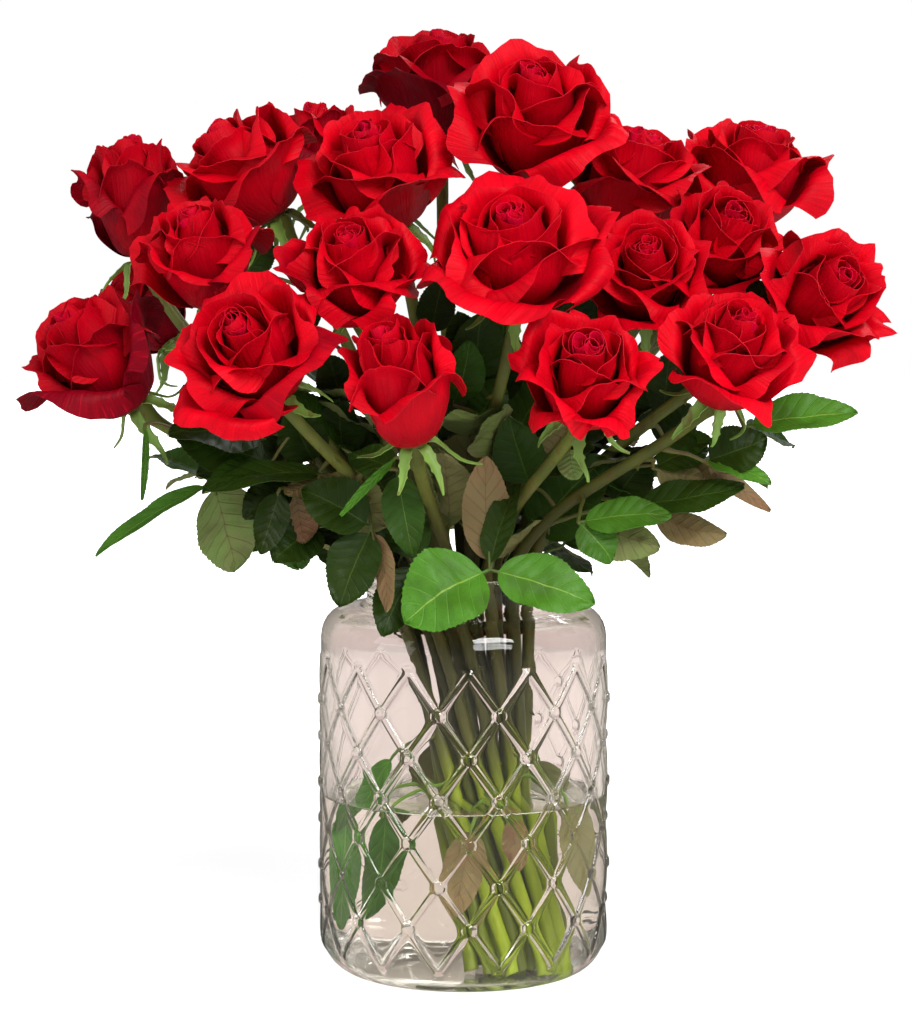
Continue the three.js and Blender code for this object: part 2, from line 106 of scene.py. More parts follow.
# on which stem, at what height, the joint of its leaflets, and for each leaflet its tip, width,
# the way its top faces, how fresh its green is and, where it isn't the usual, how rusty its underside
USUAL_RUST = 0.3
LEAVES = [
    ("n", 238, (13, -72, 221), [
        ((-30, -84, 195), 40, (-0.1, -0.9, 0.4), 0.85),
        ((66, -80, 204), 28, (0.1, -0.85, 0.5), 0.8),
        ((27, -58, 263), 16, (-0.5, -0.8, 0.1), 0.1),
        ((11, -66, 278), 23, (0.1, 0.95, -0.1), 0.4, 0.8),
    ]),
    ("t", 256, (58, -62, 244), [
        ((105, -68, 248), 19, (0, -0.75, 0.65), 0.6),
        ((100, -56, 230), 23, (-0.1, 0.9, -0.4), 0.4, 0.15),
        ((75, -66, 224), 19, (0.1, -0.85, 0.5), 0.5),
    ]),
    ("s", 256, (96, -38, 246), [
        ((136, -34, 235), 18, (0, 0.8, -0.6), 0.4, 0.7),
        ((144, -46, 262), 15, (0, -0.5, 0.85), 0.15),
    ]),
    ("t", 277, (97, -44, 270), [
        ((124, -48, 264), 16, (0, 0.8, -0.5), 0.4, 0.5),
        ((126, -30, 280), 18, (0.1, -0.8, 0.55), 0.2),
    ]),
    ("t", 283, (123, -52, 274), [
        ((155, -50, 286), 24, (0.1, -0.85, 0.5), 0.1),
        ((156, -62, 263), 13, (0, -0.6, 0.8), 0.9),
        ((160, -20, 246), 8, (0.2, 0.9, -0.3), 0.4, 0.9),
    ]),
    ("s", 316, (144, -38, 291), [
        ((202, -44, 298), 22, (0.1, -0.7, 0.7), 0.85),
        ((172, -8, 279), 18, (0.1, -0.5, 0.8), 0.4),
    ]),
    ("b", 286, (-131, -14, 261), [
        ((-192, -20, 222), 13, (0, -0.45, 0.9), 0.8),
        ((-118, -44, 217), 35, (0.3, 0.9, 0.1), 0.4, 0.05),
        ((-168, 20, 271), 19, (0, -0.3, 0.95), 0.4),
    ]),
    ("d", 292, (-100, -26, 271), [
        ((-151, -30, 290), 30, (-0.1, -0.8, 0.6), 0.1),
        ((-133, -60, 258), 14, (0, -0.6, 0.8), 0.2),
    ]),
    ("d", 274, (-88, -22, 244), [
        ((-85, -34, 217), 25, (-0.2, -0.85, -0.3), 0.35),
        ((-115, -10, 226), 21, (-0.3, -0.7, 0.5), 0.45),
    ]),
    ("f", 256, (-47, -58, 241), [
        ((-83, -56, 260), 27, (-0.1, -0.85, 0.5), 0.12),
        ((-63, -66, 201), 26, (-0.3, -0.9, 0.1), 0.1),
        ((-39, -88, 201), 12, (0.6, 0.75, 0), 0.4, 0.8),
    ]),
    ("f", 265, (-34, -64, 271), [
        ((-26, -70, 228), 19, (-0.1, -0.95, 0.1), 0.25),
        ((-59, -40, 277), 18, (-0.3, -0.6, 0.7), 0.2),
    ]),
    ("f", 223, (-22, -54, 222), [
        ((-41, -74, 187), 23, (-0.2, -0.95, 0.1), 0.1),
        ((-35, -38, 254), 21, (-0.1, -0.9, 0.3), 0.15),
    ]),
    ("e", 253, (-60, 62, 238), [
        ((-104, 92, 226), 30, (-0.3, 0.4, 0.85), 0.4),
        ((-62, 108, 232), 26, (0, 0.5, 0.8), 0.2),
        ((-92, 60, 258), 24, (-0.3, 0.2, 0.9), 0.5),
    ]),
    ("j", 241, (10, 72, 236), [
        ((-14, 118, 222), 32, (0, 0.6, 0.8), 0.3),
        ((44, 112, 228), 28, (0.1, 0.6, 0.8), 0.5),
        ((8, 84, 270), 24, (0, 0.9, 0.3), 0.2),
    ]),
    ("j", 244, (70, 58, 240), [
        ((112, 88, 230), 32, (0.3, 0.5, 0.8), 0.45),
        ((82, 104, 246), 26, (0.1, 0.6, 0.8), 0.25),
        ((112, 50, 258), 26, (0.4, 0.1, 0.9), 0.35),
    ]),
    ("e", 277, (-112, 30, 262), [
        ((-160, 36, 252), 30, (-0.3, 0.1, 0.9), 0.5),
        ((-128, 72, 258), 26, (-0.2, 0.5, 0.8), 0.3),
        ((-140, -4, 262), 24, (-0.3, -0.3, 0.9), 0.2),
    ]),
    ("s", 292, (114, 14, 262), [
        ((162, 20, 256), 30, (0.3, 0.1, 0.9), 0.35),
        ((130, 58, 266), 26, (0.2, 0.5, 0.8), 0.55),
        ((150, -18, 270), 24, (0.3, -0.3, 0.9), 0.2),
    ]),
    ("h", 292, (-20, 70, 286), [
        ((-56, 104, 280), 28, (-0.2, 0.5, 0.8), 0.3),
        ((16, 108, 284), 28, (0.1, 0.6, 0.8), 0.4),
        ((-18, 74, 318), 24, (0, 0.9, 0.2), 0.6),
    ]),
]

# further leaves: foot, tip, width, top, fresh and rust; each gets a stalk from the nearest stem
FURTHER_LEAVES = [
    ((-103, -20, 284), (-151, -45, 288), 37, (-0.1, -0.6, 0.8), 0.12),
    ((-91, -10, 273), (-138, -30, 266), 26, (-0.1, -0.8, 0.5), 0.05),
    ((-69, -35, 266), (-132, -60, 259), 18, (0, -0.5, 0.85), 0.2),
    ((-94, -48, 260), (-104, -56, 227), 16, (0.3, -0.9, 0.1), 0.05),
    ((-87, -35, 258), (-82, -40, 231), 18, (0.2, 0.9, 0.1), 0.3, 0.95),
    ((-75, -40, 266), (-91, -55, 258), 12, (0, 0.7, -0.6), 0.3, 0.7),
    ((-74, -30, 239), (-98, -45, 222), 26, (-0.1, -0.85, 0.4), 0.1),
    ((-75, -44, 266), (-39, -52, 241), 28, (0, 0.95, -0.2), 0.3, 0.35),
    ((-63, 0, 273), (-65, -10, 304), 24, (-0.2, -0.9, 0.2), 0.1),
    ((-78, -10, 270), (-90, -25, 300), 24, (-0.1, -0.9, 0.3), 0.08),
    ((-12, -20, 232), (-14, -30, 280), 28, (0.2, 0.95, 0.1), 0.3),
    ((-5, -15, 242), (3, -20, 287), 37, (0.1, 0.95, 0.1), 0.25, 0.35),
    ((35, -25, 259), (23, -40, 297), 25, (-0.2, -0.9, 0.2), 0.15),
    ((35, -10, 231), (74, -25, 274), 37, (0.1, -0.9, 0.4), 0.18),
    ((77, -20, 248), (97, -25, 277), 24, (-0.2, -0.9, 0.3), 0.08),
    ((53, -70, 283), (56, -78, 267), 12, (0, 0.9, -0.3), 0.4, 0),
    ((98, -20, 273), (129, -35, 283), 18, (0, -0.8, 0.6), 0.3),
    ((97, -36, 271), (130, -50, 265), 18, (0, 0.85, -0.5), 0.3, 0.55),
    ((87, -48, 250), (143, -56, 261), 20, (0, -0.7, 0.7), 0.15),
    ((51, -10, 226), (72, -5, 247), 24, (0.1, -0.9, 0.4), 0.1),
    ((-60, 5, 214), (-71, 0, 244), 26, (-0.2, -0.9, 0.3), 0.08),
    ((-31, 0, 222), (-36, -8, 258), 24, (-0.1, -0.95, 0.2), 0.1),
    ((-5, -20, 301), (3, -30, 335), 20, (0.2, -0.9, 0.2), 0.35),
    ((-12, 0, 305), (-15, -10, 337), 20, (-0.1, -0.95, 0.1), 0.1),
    ((19, 10, 299), (17, 0, 334), 20, (0.1, -0.95, 0.1), 0.05),
    ((52, 10, 277), (43, 0, 310), 22, (0.1, -0.9, 0.2), 0.05),
    ((100, 10, 288), (94, 0, 321), 22, (0.1, -0.9, 0.2), 0.08),
    ((-88, 20, 288), (-108, 10, 310), 24, (-0.1, -0.9, 0.3), 0.05),
    ((-119, 10, 352), (-107, 0, 329), 18, (-0.1, -0.9, 0.3), 0.08),
    ((-108, 15, 277), (-124, 5, 296), 24, (-0.1, -0.9, 0.3), 0.04),
    ((-87, 5, 278), (-107, -5, 263), 24, (-0.1, -0.9, 0.3), 0.06),
    ((-50, 15, 245), (-63, 10, 267), 24, (-0.1, -0.9, 0.3), 0.04),
    ((78, 15, 272), (94, 10, 256), 26, (0.1, -0.9, 0.3), 0.06),
    ((103, 20, 277), (121, 15, 299), 22, (0.1, -0.9, 0.3), 0.06),
    ((9, -5, 310), (-6, -15, 329), 18, (-0.1, -0.9, 0.2), 0.3),
    ((6, 0, 289), (19, -10, 315), 20, (0.2, -0.9, 0.2), 0.2),
    ((78, 20, 336), (69, 10, 360), 20, (0.1, -0.9, 0.2), 0.04),
    ((-18, 10, 336), (-11, 5, 367), 18, (0.1, -0.9, 0.2), 0.06),
    ((-63, 10, 299), (-71, 5, 326), 20, (0.1, -0.9, 0.2), 0.06),
    ((-115, 20, 368), (-103, 10, 389), 16, (0.1, -0.9, 0.2), 0.1),
    ((122, 30, 335), (100, 20, 352), 18, (0.1, -0.9, 0.2), 0.06),
    ((-24, 33, 182), (-22, 37, 228), 24, (0.3, -0.95, 0), 0.08),
    ((3, 37, 178), (5, 40, 226), 26, (0, -0.95, 0.1), 0.05),
    ((28, 28, 180), (31, 31, 228), 24, (-0.4, -0.9, 0.1), 0.08),
    ((-36, 10, 184), (-39, 12, 226), 18, (0.5, -0.85, 0), 0.05),
    ((8, -10, 312), (9, -25, 349), 28, (0.15, -0.95, 0.1), 0.12),
    ((20, -5, 318), (21, -20, 346), 20, (-0.2, -0.9, 0.2), 0.25),
    ((-1, -10, 326), (-3, -22, 350), 18, (0.2, -0.9, 0.1), 0.04),
    ((105, 0, 295), (108, -14, 329), 19, (0.1, -0.9, 0.2), 0.04),
    ((-89, -30, 261), (-113, -42, 244), 20, (-0.1, -0.85, 0.4), 0.04),
    ((-47, -20, 268), (-38, -34, 254), 18, (-0.1, -0.9, 0.3), 0.05),
    ((52, 20, 313), (45, 8, 346), 20, (0.1, -0.9, 0.2), 0.05),
    ((-83, 30, 335), (-90, 22, 357), 18, (0.1, -0.9, 0.2), 0.05),
    ((132, -4, 344), (162, -10, 362), 22, (-0.1, -0.9, 0.3), 0.04),
    ((58, 4, 334), (56, -4, 365), 20, (0.1, -0.9, 0.2), 0.05),
    ((-163, -45, 293), (-165, -48, 254), 2.6, (0.3, -0.9, 0.1), 0.7),
    ((-34, -74, 278), (-62, -80, 249), 3.4, (0.2, -0.9, 0.3), 0.95),
]
SUNKEN_LEAVES = [
    ((-36, -20, 118), (-58, -16, 78), 14, (-0.6, -0.7, 0.3), 0.6, 0.5),
    ((-36, -38, 94), (-47, -34, 34), 19, (0.3, -0.9, 0.2), 0.3, 0.6),
    ((-50, -10, 92), (-56, -16, 24), 18, (-0.5, -0.85, 0.1), 0.9),
    ((4, -42, 86), (-4, -46, 38), 17, (0.1, 0.95, 0.2), 0.4, 0.75),
    ((22, -38, 90), (26, -42, 62), 11, (0.2, 0.9, 0.1), 0.2, 0.95),
    ((52, -30, 98), (60, -26, 44), 19, (-0.4, 0.9, 0.1), 0.3, 0.5),
    ((40, 24, 110), (52, 36, 60), 20, (0.3, 0.9, 0.2), 0.2),
    ((-8, 30, 120), (-24, 42, 72), 20, (-0.3, 0.9, 0.2), 0.2, 0.4),
]
BACK_LEAVES = 36  # spread round the sides and the back
MIDDLE_LEAVES = 30  # among the stems

HEART_PETALS = 7
PETALS_LEAST, PETALS_MORE = 17, 4  # in a whole head, and how many more when it is fully open
HEART_GRID, PETAL_GRID = 19, 27  # points across and along one petal
SEPAL_GRID, BLADE_GRID = (7, 29), (11, 61)
SEPAL_LENGTH = 32.0
THORNS = 5

# ------------------------------------------------------------------ writing node trees
class Value:
    """A node's output, so that node arithmetic reads as a formula."""

    def __init__(self, tree, socket):
        self.tree, self.socket = tree, socket

    def op(self, operation, *others):
        node = self.tree.nodes.new("ShaderNodeMath")
        node.operation = operation
        for k, item in enumerate((self, *others)):
            plug(self.tree, item, node.inputs[k])
        return Value(self.tree, node.outputs[0])

    def __add__(self, other):
        return self.op("ADD", other)

    __radd__ = __add__

    def __mul__(self, other):
        return self.op("MULTIPLY", other)

    __rmul__ = __mul__

    def __sub__(self, other):
        return self.op("SUBTRACT", other)

    def __rsub__(self, other):
        return self.op("MULTIPLY_ADD", -1.0, other)

    def __truediv__(self, other):
        return self.op("DIVIDE", other)

    def __pow__(self, other):
        return self.op("POWER", other)

    def __abs__(self):
        return self.op("ABSOLUTE")


def plug(tree, item, socket):
    """Links a value into a socket, or sets the socket to a constant; a colour gets its alpha here."""
    if isinstance(item, Value):
        tree.links.new(item.socket, socket)
    elif item is not None:
        socket.default_value = (*item[:3], 1.0) if socket.type == "RGBA" else item


def node(tree, kind, feeds=None, out=0, **settings):
    """A node with its inputs fed by name or place; returns one output, or all where out is None."""
    made = tree.nodes.new(kind)
    for key, value in settings.items():
        setattr(made, key, value)
    for key, item in (feeds or {}).items():
        if isinstance(key, int):
            plug(tree, item, made.inputs[key])
        else:
            plug(tree, item, next(s for s in made.inputs if s.name == key and s.enabled))
    live = [s for s in made.outputs if s.enabled]
    if out is None:
        return {s.name: Value(tree, s) for s in live}
    return Value(tree, live[out] if isinstance(out, int) else next(s for s in live if s.name == out))


def sin(x):
    return x.op("SINE")


def cos(x):
    return x.op("COSINE")


def ramp(x, low, high):
    """Smooth step of x, from 0 at low to 1 at high."""
    return node(x.tree, "ShaderNodeMapRange", {"Value": x, "From Min": low, "From Max": high},
                interpolation_type="SMOOTHSTEP")


def blend(a, b, share):
    """a where share is 0 and b where it is 1."""
    return node(share.tree, "ShaderNodeMix", {"Factor": share, "A": a, "B": b}, data_type="FLOAT")


def centred_part(x):
    """How far x is from the nearest whole number, with its sign."""
    return x - x.op("ROUND")


def xyz(tree, x=0.0, y=0.0, z=0.0):
    return node(tree, "ShaderNodeCombineXYZ", {"X": x, "Y": y, "Z": z})


def round_the_axis(out, side, rise, facing):
    """A point's place from its reach, its sideways step and its rise, turned about Z."""
    return xyz(out.tree, out * cos(facing) - side * sin(facing), out * sin(facing) + side * cos(facing),
               rise)


def parts_of(vector):
    made = node(vector.tree, "ShaderNodeSeparateXYZ", {0: vector}, out=None)
    return made["X"], made["Y"], made["Z"]


def vector_sum(first, *others):
    for other in others:
        first = node(first.tree, "ShaderNodeVectorMath", {0: first, 1: other}, operation="ADD")
    return first


def scaled(vector, amount):
    return node(vector.tree, "ShaderNodeVectorMath", {0: vector, "Scale": amount}, operation="SCALE")


def new_tree(name, **sockets):
    """A geometry node tree with named inputs, given as (kind, default)."""
    tree = bpy.data.node_groups.new(name, "GeometryNodeTree")
    tree.interface.new_socket("Geometry", in_out="INPUT", socket_type="NodeSocketGeometry")
    tree.interface.new_socket("Geometry", in_out="OUTPUT", socket_type="NodeSocketGeometry")
    for key, (kind, default) in sockets.items():
        made = tree.interface.new_socket(key.replace("_", " "), in_out="INPUT",
                                         socket_type="NodeSocket" + kind)
        if default is not None:
            made.default_value = default
    entry = tree.nodes.new("NodeGroupInput")
    return tree, {s.name: Value(tree, s) for s in entry.outputs if s.name}


def join(tree, *geometries):
    made = tree.nodes.new("GeometryNodeJoinGeometry")
    for geometry in geometries:
        tree.links.new(geometry.socket, made.inputs[0])
    return Value(tree, made.outputs[0])


def finish_tree(tree, geometry, material):
    """Real meshes with their material, as the tree's result."""
    real = node(tree, "GeometryNodeRealizeInstances", {"Geometry": geometry})
    dressed = node(tree, "GeometryNodeSetMaterial", {"Geometry": real, "Material": material})
    leave = tree.nodes.new("NodeGroupOutput")
    plug(tree, dressed, leave.inputs[0])


def field(tree, name, data_type="FLOAT"):
    return node(tree, "GeometryNodeInputNamedAttribute", {"Name": name}, data_type=data_type)


def store(tree, geometry, name, value, domain="POINT", where=None):
    return node(tree, "GeometryNodeStoreNamedAttribute",
                {"Geometry": geometry, "Selection": where, "Name": name, "Value": value},
                domain=domain, data_type="FLOAT")


def chance(tree, low, high, identity, seed):
    """A random number, the same for all that share the identity."""
    return node(tree, "FunctionNodeRandomValue", {"Min": low, "Max": high, "ID": identity, "Seed": seed},
                data_type="FLOAT")


def oddness(tree, copy, seed):
    """A function that gives each copy its own difference of up to a size, another one for each key."""
    return lambda key, size: chance(tree, -size, size, copy, seed + key)


def index(tree):
    return node(tree, "GeometryNodeInputIndex")


def position(tree):
    return node(tree, "GeometryNodeInputPosition")


def moved(tree, mesh, place):
    return node(tree, "GeometryNodeSetPosition", {"Geometry": mesh, "Position": place})


def way_along(tree, lean, step, column):
    """How far out and up a bent strip has come, with its steps added up along each column."""
    run = node(tree, "GeometryNodeAccumulateField",
               {"Value": xyz(tree, sin(lean) * step, 0.0, cos(lean) * step), "Group ID": column},
               out="Trailing", data_type="FLOAT_VECTOR", domain="POINT")
    reach, _, rise = parts_of(run)
    return reach, rise


def sheet_grid(tree, across, along, copies):
    """Flat grids, one for each copy, that know u across (-1 to 1), v along (0 to 1) and their number."""
    grid = node(tree, "GeometryNodeMeshGrid", {"Size X": 2.0, "Size Y": 1.0, "Vertices X": across,
                                               "Vertices Y": along})
    x, y, _ = parts_of(position(tree))
    grid = store(tree, grid, "across", x)
    grid = store(tree, grid, "along", y + 0.5)
    spots = node(tree, "GeometryNodeInstanceOnPoints", {"Points": copies, "Instance": grid})
    spots = store(tree, spots, "copy", index(tree), domain="INSTANCE")
    return node(tree, "GeometryNodeRealizeInstances", {"Geometry": spots})


def thicken(tree, sheet, thickness):
    """A closed thin solid from a sheet. The fact side is 0 in front, 1 behind and 0.5 at the rim."""
    pulled = node(tree, "GeometryNodeExtrudeMesh",
                  {"Mesh": sheet, "Offset Scale": thickness, "Individual": False},
                  out=None, mode="FACES")
    front = store(tree, pulled["Mesh"], "side", 0.5, domain="FACE", where=pulled["Side"])
    behind = node(tree, "GeometryNodeFlipFaces", {"Mesh": sheet})
    behind = store(tree, behind, "side", 1.0, domain="FACE")
    whole = node(tree, "GeometryNodeMergeByDistance",
                 {"Geometry": join(tree, front, behind), "Distance": 2e-6})
    return shade(tree, whole)


def finish_sheet(tree, sheet, given):
    """Makes the sheet solid, turns it and puts it in its place, as the tree's result."""
    solid = thicken(tree, sheet, given["Thickness"])
    solid = node(tree, "GeometryNodeTransform",
                 {"Geometry": solid, "Rotation": given["Turn"], "Translation": given["Place"]})
    finish_tree(tree, solid, given["Material"])


def shade(tree, mesh, crease=60):
    """Smooth shading, with an edge kept sharp where its faces turn by more than the crease."""
    smooth = node(tree, "GeometryNodeSetShadeSmooth", {"Geometry": mesh, "Shade Smooth": True},
                  domain="FACE")
    turn = node(tree, "GeometryNodeInputMeshEdgeAngle")
    sharp = turn.op("GREATER_THAN", math.radians(crease))
    return node(tree, "GeometryNodeSetShadeSmooth", {"Geometry": smooth, "Selection": sharp,
                                                     "Shade Smooth": False}, domain="EDGE")


def grown(name, tree, source=None, **inputs):
    """The finished piece that a tree makes: a plain mesh, with the modifier gone."""
    piece = bpy.data.objects.new(name, source or bpy.data.meshes.new(name))
    scene.collection.objects.link(piece)
    modifier = piece.modifiers.new("grow", "NODES")
    modifier.node_group = tree
    for item in tree.interface.items_tree:
        if item.in_out == "INPUT" and item.name.replace(" ", "_") in inputs:
            modifier[item.identifier] = inputs[item.name.replace(" ", "_")]
    live = piece.evaluated_get(bpy.context.evaluated_depsgraph_get())
    mesh = bpy.data.meshes.new_from_object(live)
    mesh.name = name
    piece.modifiers.remove(modifier)
    piece.data = mesh
    return piece


def point_mesh(name, points, edges=(), **facts):
    """Loose points, or a line of them, with a named fact for each."""
    mesh = bpy.data.meshes.new(name)
    mesh.from_pydata([tuple(p) for p in points], list(edges), [])
    for key, values in facts.items():
        flat = np.asarray(values, dtype=np.float32)
        kind, slot = ("FLOAT_VECTOR", "vector") if flat.ndim == 2 else ("FLOAT", "value")
        mesh.attributes.new(key, kind, "POINT").data.foreach_set(slot, flat.ravel())
    return mesh


# ------------------------------------------------------------------ materials
WHITE, BLACK = (1.0, 1.0, 1.0), (0.0, 0.0, 0.0)


def new_material(name):
    material = bpy.data.materials.new(name)
    material.use_nodes = True
    tree = material.node_tree
    shader = next(n for n in tree.nodes if n.type == "BSDF_PRINCIPLED")
    return material, tree, shader


def dress(tree, shader, **feeds):
    """Feeds the shader's inputs, with _ for a space in their names."""
    for key, item in feeds.items():
        plug(tree, item, shader.inputs[key.replace("_", " ")])


def tint(a, b, share):
    """Colour b laid over colour a."""
    return node(share.tree, "ShaderNodeMix", {"Factor": share, "A": a, "B": b}, data_type="RGBA")


def layered(colour, *coats):
    """Colours laid over one another, each coat given with its share."""
    for coat, share in coats:
        colour = tint(colour, coat, share)
    return colour


def noise(tree, scale, detail=3.0, rough=0.5, vector=None):
    at = vector or node(tree, "ShaderNodeTexCoord", out="Object")
    return node(tree, "ShaderNodeTexNoise", {"Vector": at, "Scale": scale, "Detail": detail,
                                             "Roughness": rough})


def facts(tree, *names):
    """Attributes of the mesh, as numbers."""
    return [node(tree, "ShaderNodeAttribute", out="Fac", attribute_name=name) for name in names]


def bump(tree, height, strength, distance):
    return node(tree, "ShaderNodeBump", {"Height": height, "Strength": strength, "Distance": distance})


def shader_group(name, outputs, **inputs):
    """A group with named inputs, given with their defaults; returns it, their values and its way out."""
    group = bpy.data.node_groups.new(name, "ShaderNodeTree")
    for key, value in inputs.items():
        made = group.interface.new_socket(key.replace("_", " "), in_out="INPUT",
                                          socket_type="NodeSocketFloat")
        made.default_value = value
    for key in outputs:
        group.interface.new_socket(key, in_out="OUTPUT", socket_type="NodeSocketFloat")
    entry = group.nodes.new("NodeGroupInput")
    leave = group.nodes.new("NodeGroupOutput")
    return group, [Value(group, s) for s in entry.outputs if s.name], leave.inputs


def grouped(tree, group, *settings):
    """What a group gives at these settings."""
    made = tree.nodes.new("ShaderNodeGroup")
    made.node_tree = group
    for socket, value in zip(made.inputs, settings):
        socket.default_value = value
    return [Value(tree, s) for s in made.outputs]


def mottle_group():
    """Soft patches and a fine grain, for anything that grew."""
    group, (patch_scale, grain_scale), leave = shader_group(
        "mottle", ("Patches", "Grain"), Patch_Scale=60.0, Grain_Scale=900.0)
    plug(group, noise(group, patch_scale, detail=2.0), leave[0])
    plug(group, noise(group, grain_scale, detail=3.0, rough=0.6), leave[1])
    return group


def streak_group():
    """Long fibres that run up a stem or a stalk."""
    group, (across, upward), leave = shader_group("streaks", ("Streak",), Across=320.0, Upward=22.0)
    x, y, z = parts_of(node(group, "ShaderNodeTexCoord", out="Object"))
    stretched = xyz(group, x * across, y * across, z * upward)
    plug(group, noise(group, 1.0, vector=stretched), leave[0])
    return group


MOTTLE, STREAKS = mottle_group(), streak_group()


def petal_material():
    material, tree, shader = new_material("rose petal")
    side, across, along = facts(tree, "side", "across", "along")
    ring, chosen, deep_red_and_shade = facts(tree, "ring", "chosen", "deep_red_and_shade")
    patches, grain = grouped(tree, MOTTLE, 45.0, 700.0)
    behind = ramp(side, 0.6, 0.9)
    rim = ramp(side, 0.2, 0.5) * (1.0 - behind)
    # dark wilted outer petals; a head with more darkening, which is partly painted shade, gets more of
    # them
    fade = ramp(ring, 0.72, 1.0) * ramp(chosen * 0.5 + patches * 0.4 + deep_red_and_shade * 0.9, 0.72, 0.95)
    fan = noise(tree, 1.0, detail=2.0, vector=xyz(tree, across * 26.0, along * 1.6, chosen * 37.0))
    fine = noise(tree, 1.0, detail=1.0, vector=xyz(tree, across * 60.0, along * 3.5, chosen * 53.0))
    face = tint((0.63, 0.0, 0.008), (0.48, 0.0, 0.006), ramp(patches, 0.35, 0.7))
    back = tint((0.52, 0.0, 0.008), (0.41, 0.0, 0.007), ramp(patches, 0.3, 0.7))
    colour = layered(
        tint(face, back, behind),
        ((0.66, 0.002, 0.045), (1.0 - ramp(ring, 0.0, 0.3)) * 0.7),
        # painted shade: each petal darkens towards its base, where it sinks into the crevices of the
        # head
        ((0.17, 0.0, 0.003), (1.0 - ramp(along, 0.2, 0.8)) * 0.6),
        ((0.50, 0.004, 0.014), ramp(along, 0.93, 1.0) * 0.3),
        ((0.50, 0.02, 0.03), rim * ramp(patches, 0.4, 0.65) * ring * 0.7),
        ((0.36, 0.0, 0.006), ramp(chosen, 0.45, 0.9) * ring * 0.35),
        # partly painted shade: the head's own darkening, strongest on its outer petals, is partly a
        # deeper red and partly shade painted onto the head
        ((0.22, 0.0, 0.004), deep_red_and_shade * (0.5 + ring * 0.4)),
        ((0.085, 0.0, 0.005), fade * 0.85),
        ((0.26, 0.0, 0.006), ramp(fan, 0.42, 0.78) * 0.42),
        ((0.72, 0.004, 0.02), ramp(fine, 0.55, 0.8) * ramp(along, 0.5, 0.95) * 0.3))
    relief = fan * 0.8 + fine * 0.35 + grain * 0.25 + patches * 0.5
    dress(tree, shader, Base_Color=colour, Roughness=0.36 + grain * 0.16,
          Normal=bump(tree, relief, 0.6, 0.0010), Specular_IOR_Level=0.05,
          Sheen_Weight=0.02, Sheen_Roughness=0.4, Sheen_Tint=(1.0, 0.1, 0.2))
    return material


def leaf_material():
    material, tree, shader = new_material("rose leaf")
    side, across, along, fresh, rust = facts(tree, "side", "across", "along", "fresh", "rust")
    patches, grain = grouped(tree, MOTTLE, 55.0, 900.0)
    behind = ramp(side, 0.4, 0.9)
    width = abs(across)
    midrib = 1.0 - ramp(width, 0.008, 0.034)
    t = (along - 0.09) / 0.91
    branch = abs(centred_part(t * 7.0 - width ** 0.85 * 1.5))
    veins = (1.0 - ramp(branch, 0.015, 0.09)) * (1.0 - ramp(width, 0.8, 1.0))
    top = layered(
        tint((0.008, 0.013, 0.0003), (0.070, 0.225, 0.014), fresh),
        ((0.022, 0.040, 0.0015), ramp(patches, 0.4, 0.75) * 0.5),
        ((0.03, 0.10, 0.012), ramp(grain, 0.45, 0.75) * 0.5 * fresh),
        ((0.14, 0.33, 0.05), veins * 0.3 * fresh),
        ((0.26, 0.40, 0.06), midrib * (fresh * 0.7 + 0.06)))
    under = layered(
        tint((0.11, 0.18, 0.04), (0.20, 0.095, 0.05), rust),
        ((0.16, 0.14, 0.06), ramp(patches, 0.35, 0.7) * 0.5),
        ((0.10, 0.04, 0.02), (veins * 0.3 + midrib * 0.7) * 0.8))
    relief = grain * 0.5 - veins * 0.8 + patches * 0.8
    dress(tree, shader, Base_Color=tint(top, under, behind), Specular_IOR_Level=0.2,
          Roughness=blend(0.40, 0.64, behind) + grain * 0.12,
          Normal=bump(tree, relief, 0.6, 0.0006))
    return material


def stem_material(name, low, neck, high):
    """Stem green by height: fresh in the water, dark in the neck and olive above, in long streaks. The
    dark in the neck is partly a browner green and partly painted shade from the leaves above.
    """
    material, tree, shader = new_material(name)
    patches, grain = grouped(tree, MOTTLE, 40.0, 800.0)
    _, _, z = parts_of(node(tree, "ShaderNodeTexCoord", out="Object"))
    (streak,), (age,) = grouped(tree, STREAKS, 320.0, 22.0), facts(tree, "age")
    colour = layered(
        low,
        # partly painted shade: the dark band through the neck is a browner green with the leaves' shadow
        # painted onto it
        (neck, ramp(z, 0.08, 0.135)),
        (high, ramp(z, 0.215, 0.30)),
        ((0.05, 0.06, 0.012), ramp(patches, 0.42, 0.7) * ramp(z, 0.1, 0.14) * 0.5),
        ((0.13, 0.05, 0.02), ramp(streak, 0.52, 0.72) * ramp(z, 0.12, 0.26) * 0.6),
        ((0.030, 0.032, 0.003), age * (0.9 - ramp(z, 0.2, 0.28) * 0.5)))
    dress(tree, shader, Base_Color=colour, Roughness=0.38 + grain * 0.2, Specular_IOR_Level=0.35,
          Normal=bump(tree, streak * 0.6 + grain * 0.4, 0.4, 0.0003))
    return material


def lattice(turn, height):
    """Distances to the jar's nearest rib and nearest bead, from the turn and the height on the wall."""
    step = 2 * math.pi / JAR["diamonds"]
    tall = JAR["diamond_tall"] * MM
    wide = JAR["body"] * MM * step
    p = (turn - JAR["lattice_turn"]) / step
    q = (JAR["lattice_high"] * MM - height) / tall
    rise, fall = centred_part(p + q), centred_part(p - q)
    to_rib = abs(rise).op("MINIMUM", abs(fall)) / math.hypot(1 / wide, 1 / tall)
    across, up = (rise + fall) * (0.5 * wide), (rise - fall) * (0.5 * tall)
    to_bead = (across * across + up * up) ** 0.5
    low, high = JAR["lattice_low"] * MM, JAR["lattice_high"] * MM
    present = ramp(height, low - 0.003, low + 0.001) * (1.0 - ramp(height, high - 0.001, high + 0.003))
    inside = height.op("GREATER_THAN", low + 0.009) * height.op("LESS_THAN", high - 0.009)
    return to_rib, to_bead + (1.0 - inside), present


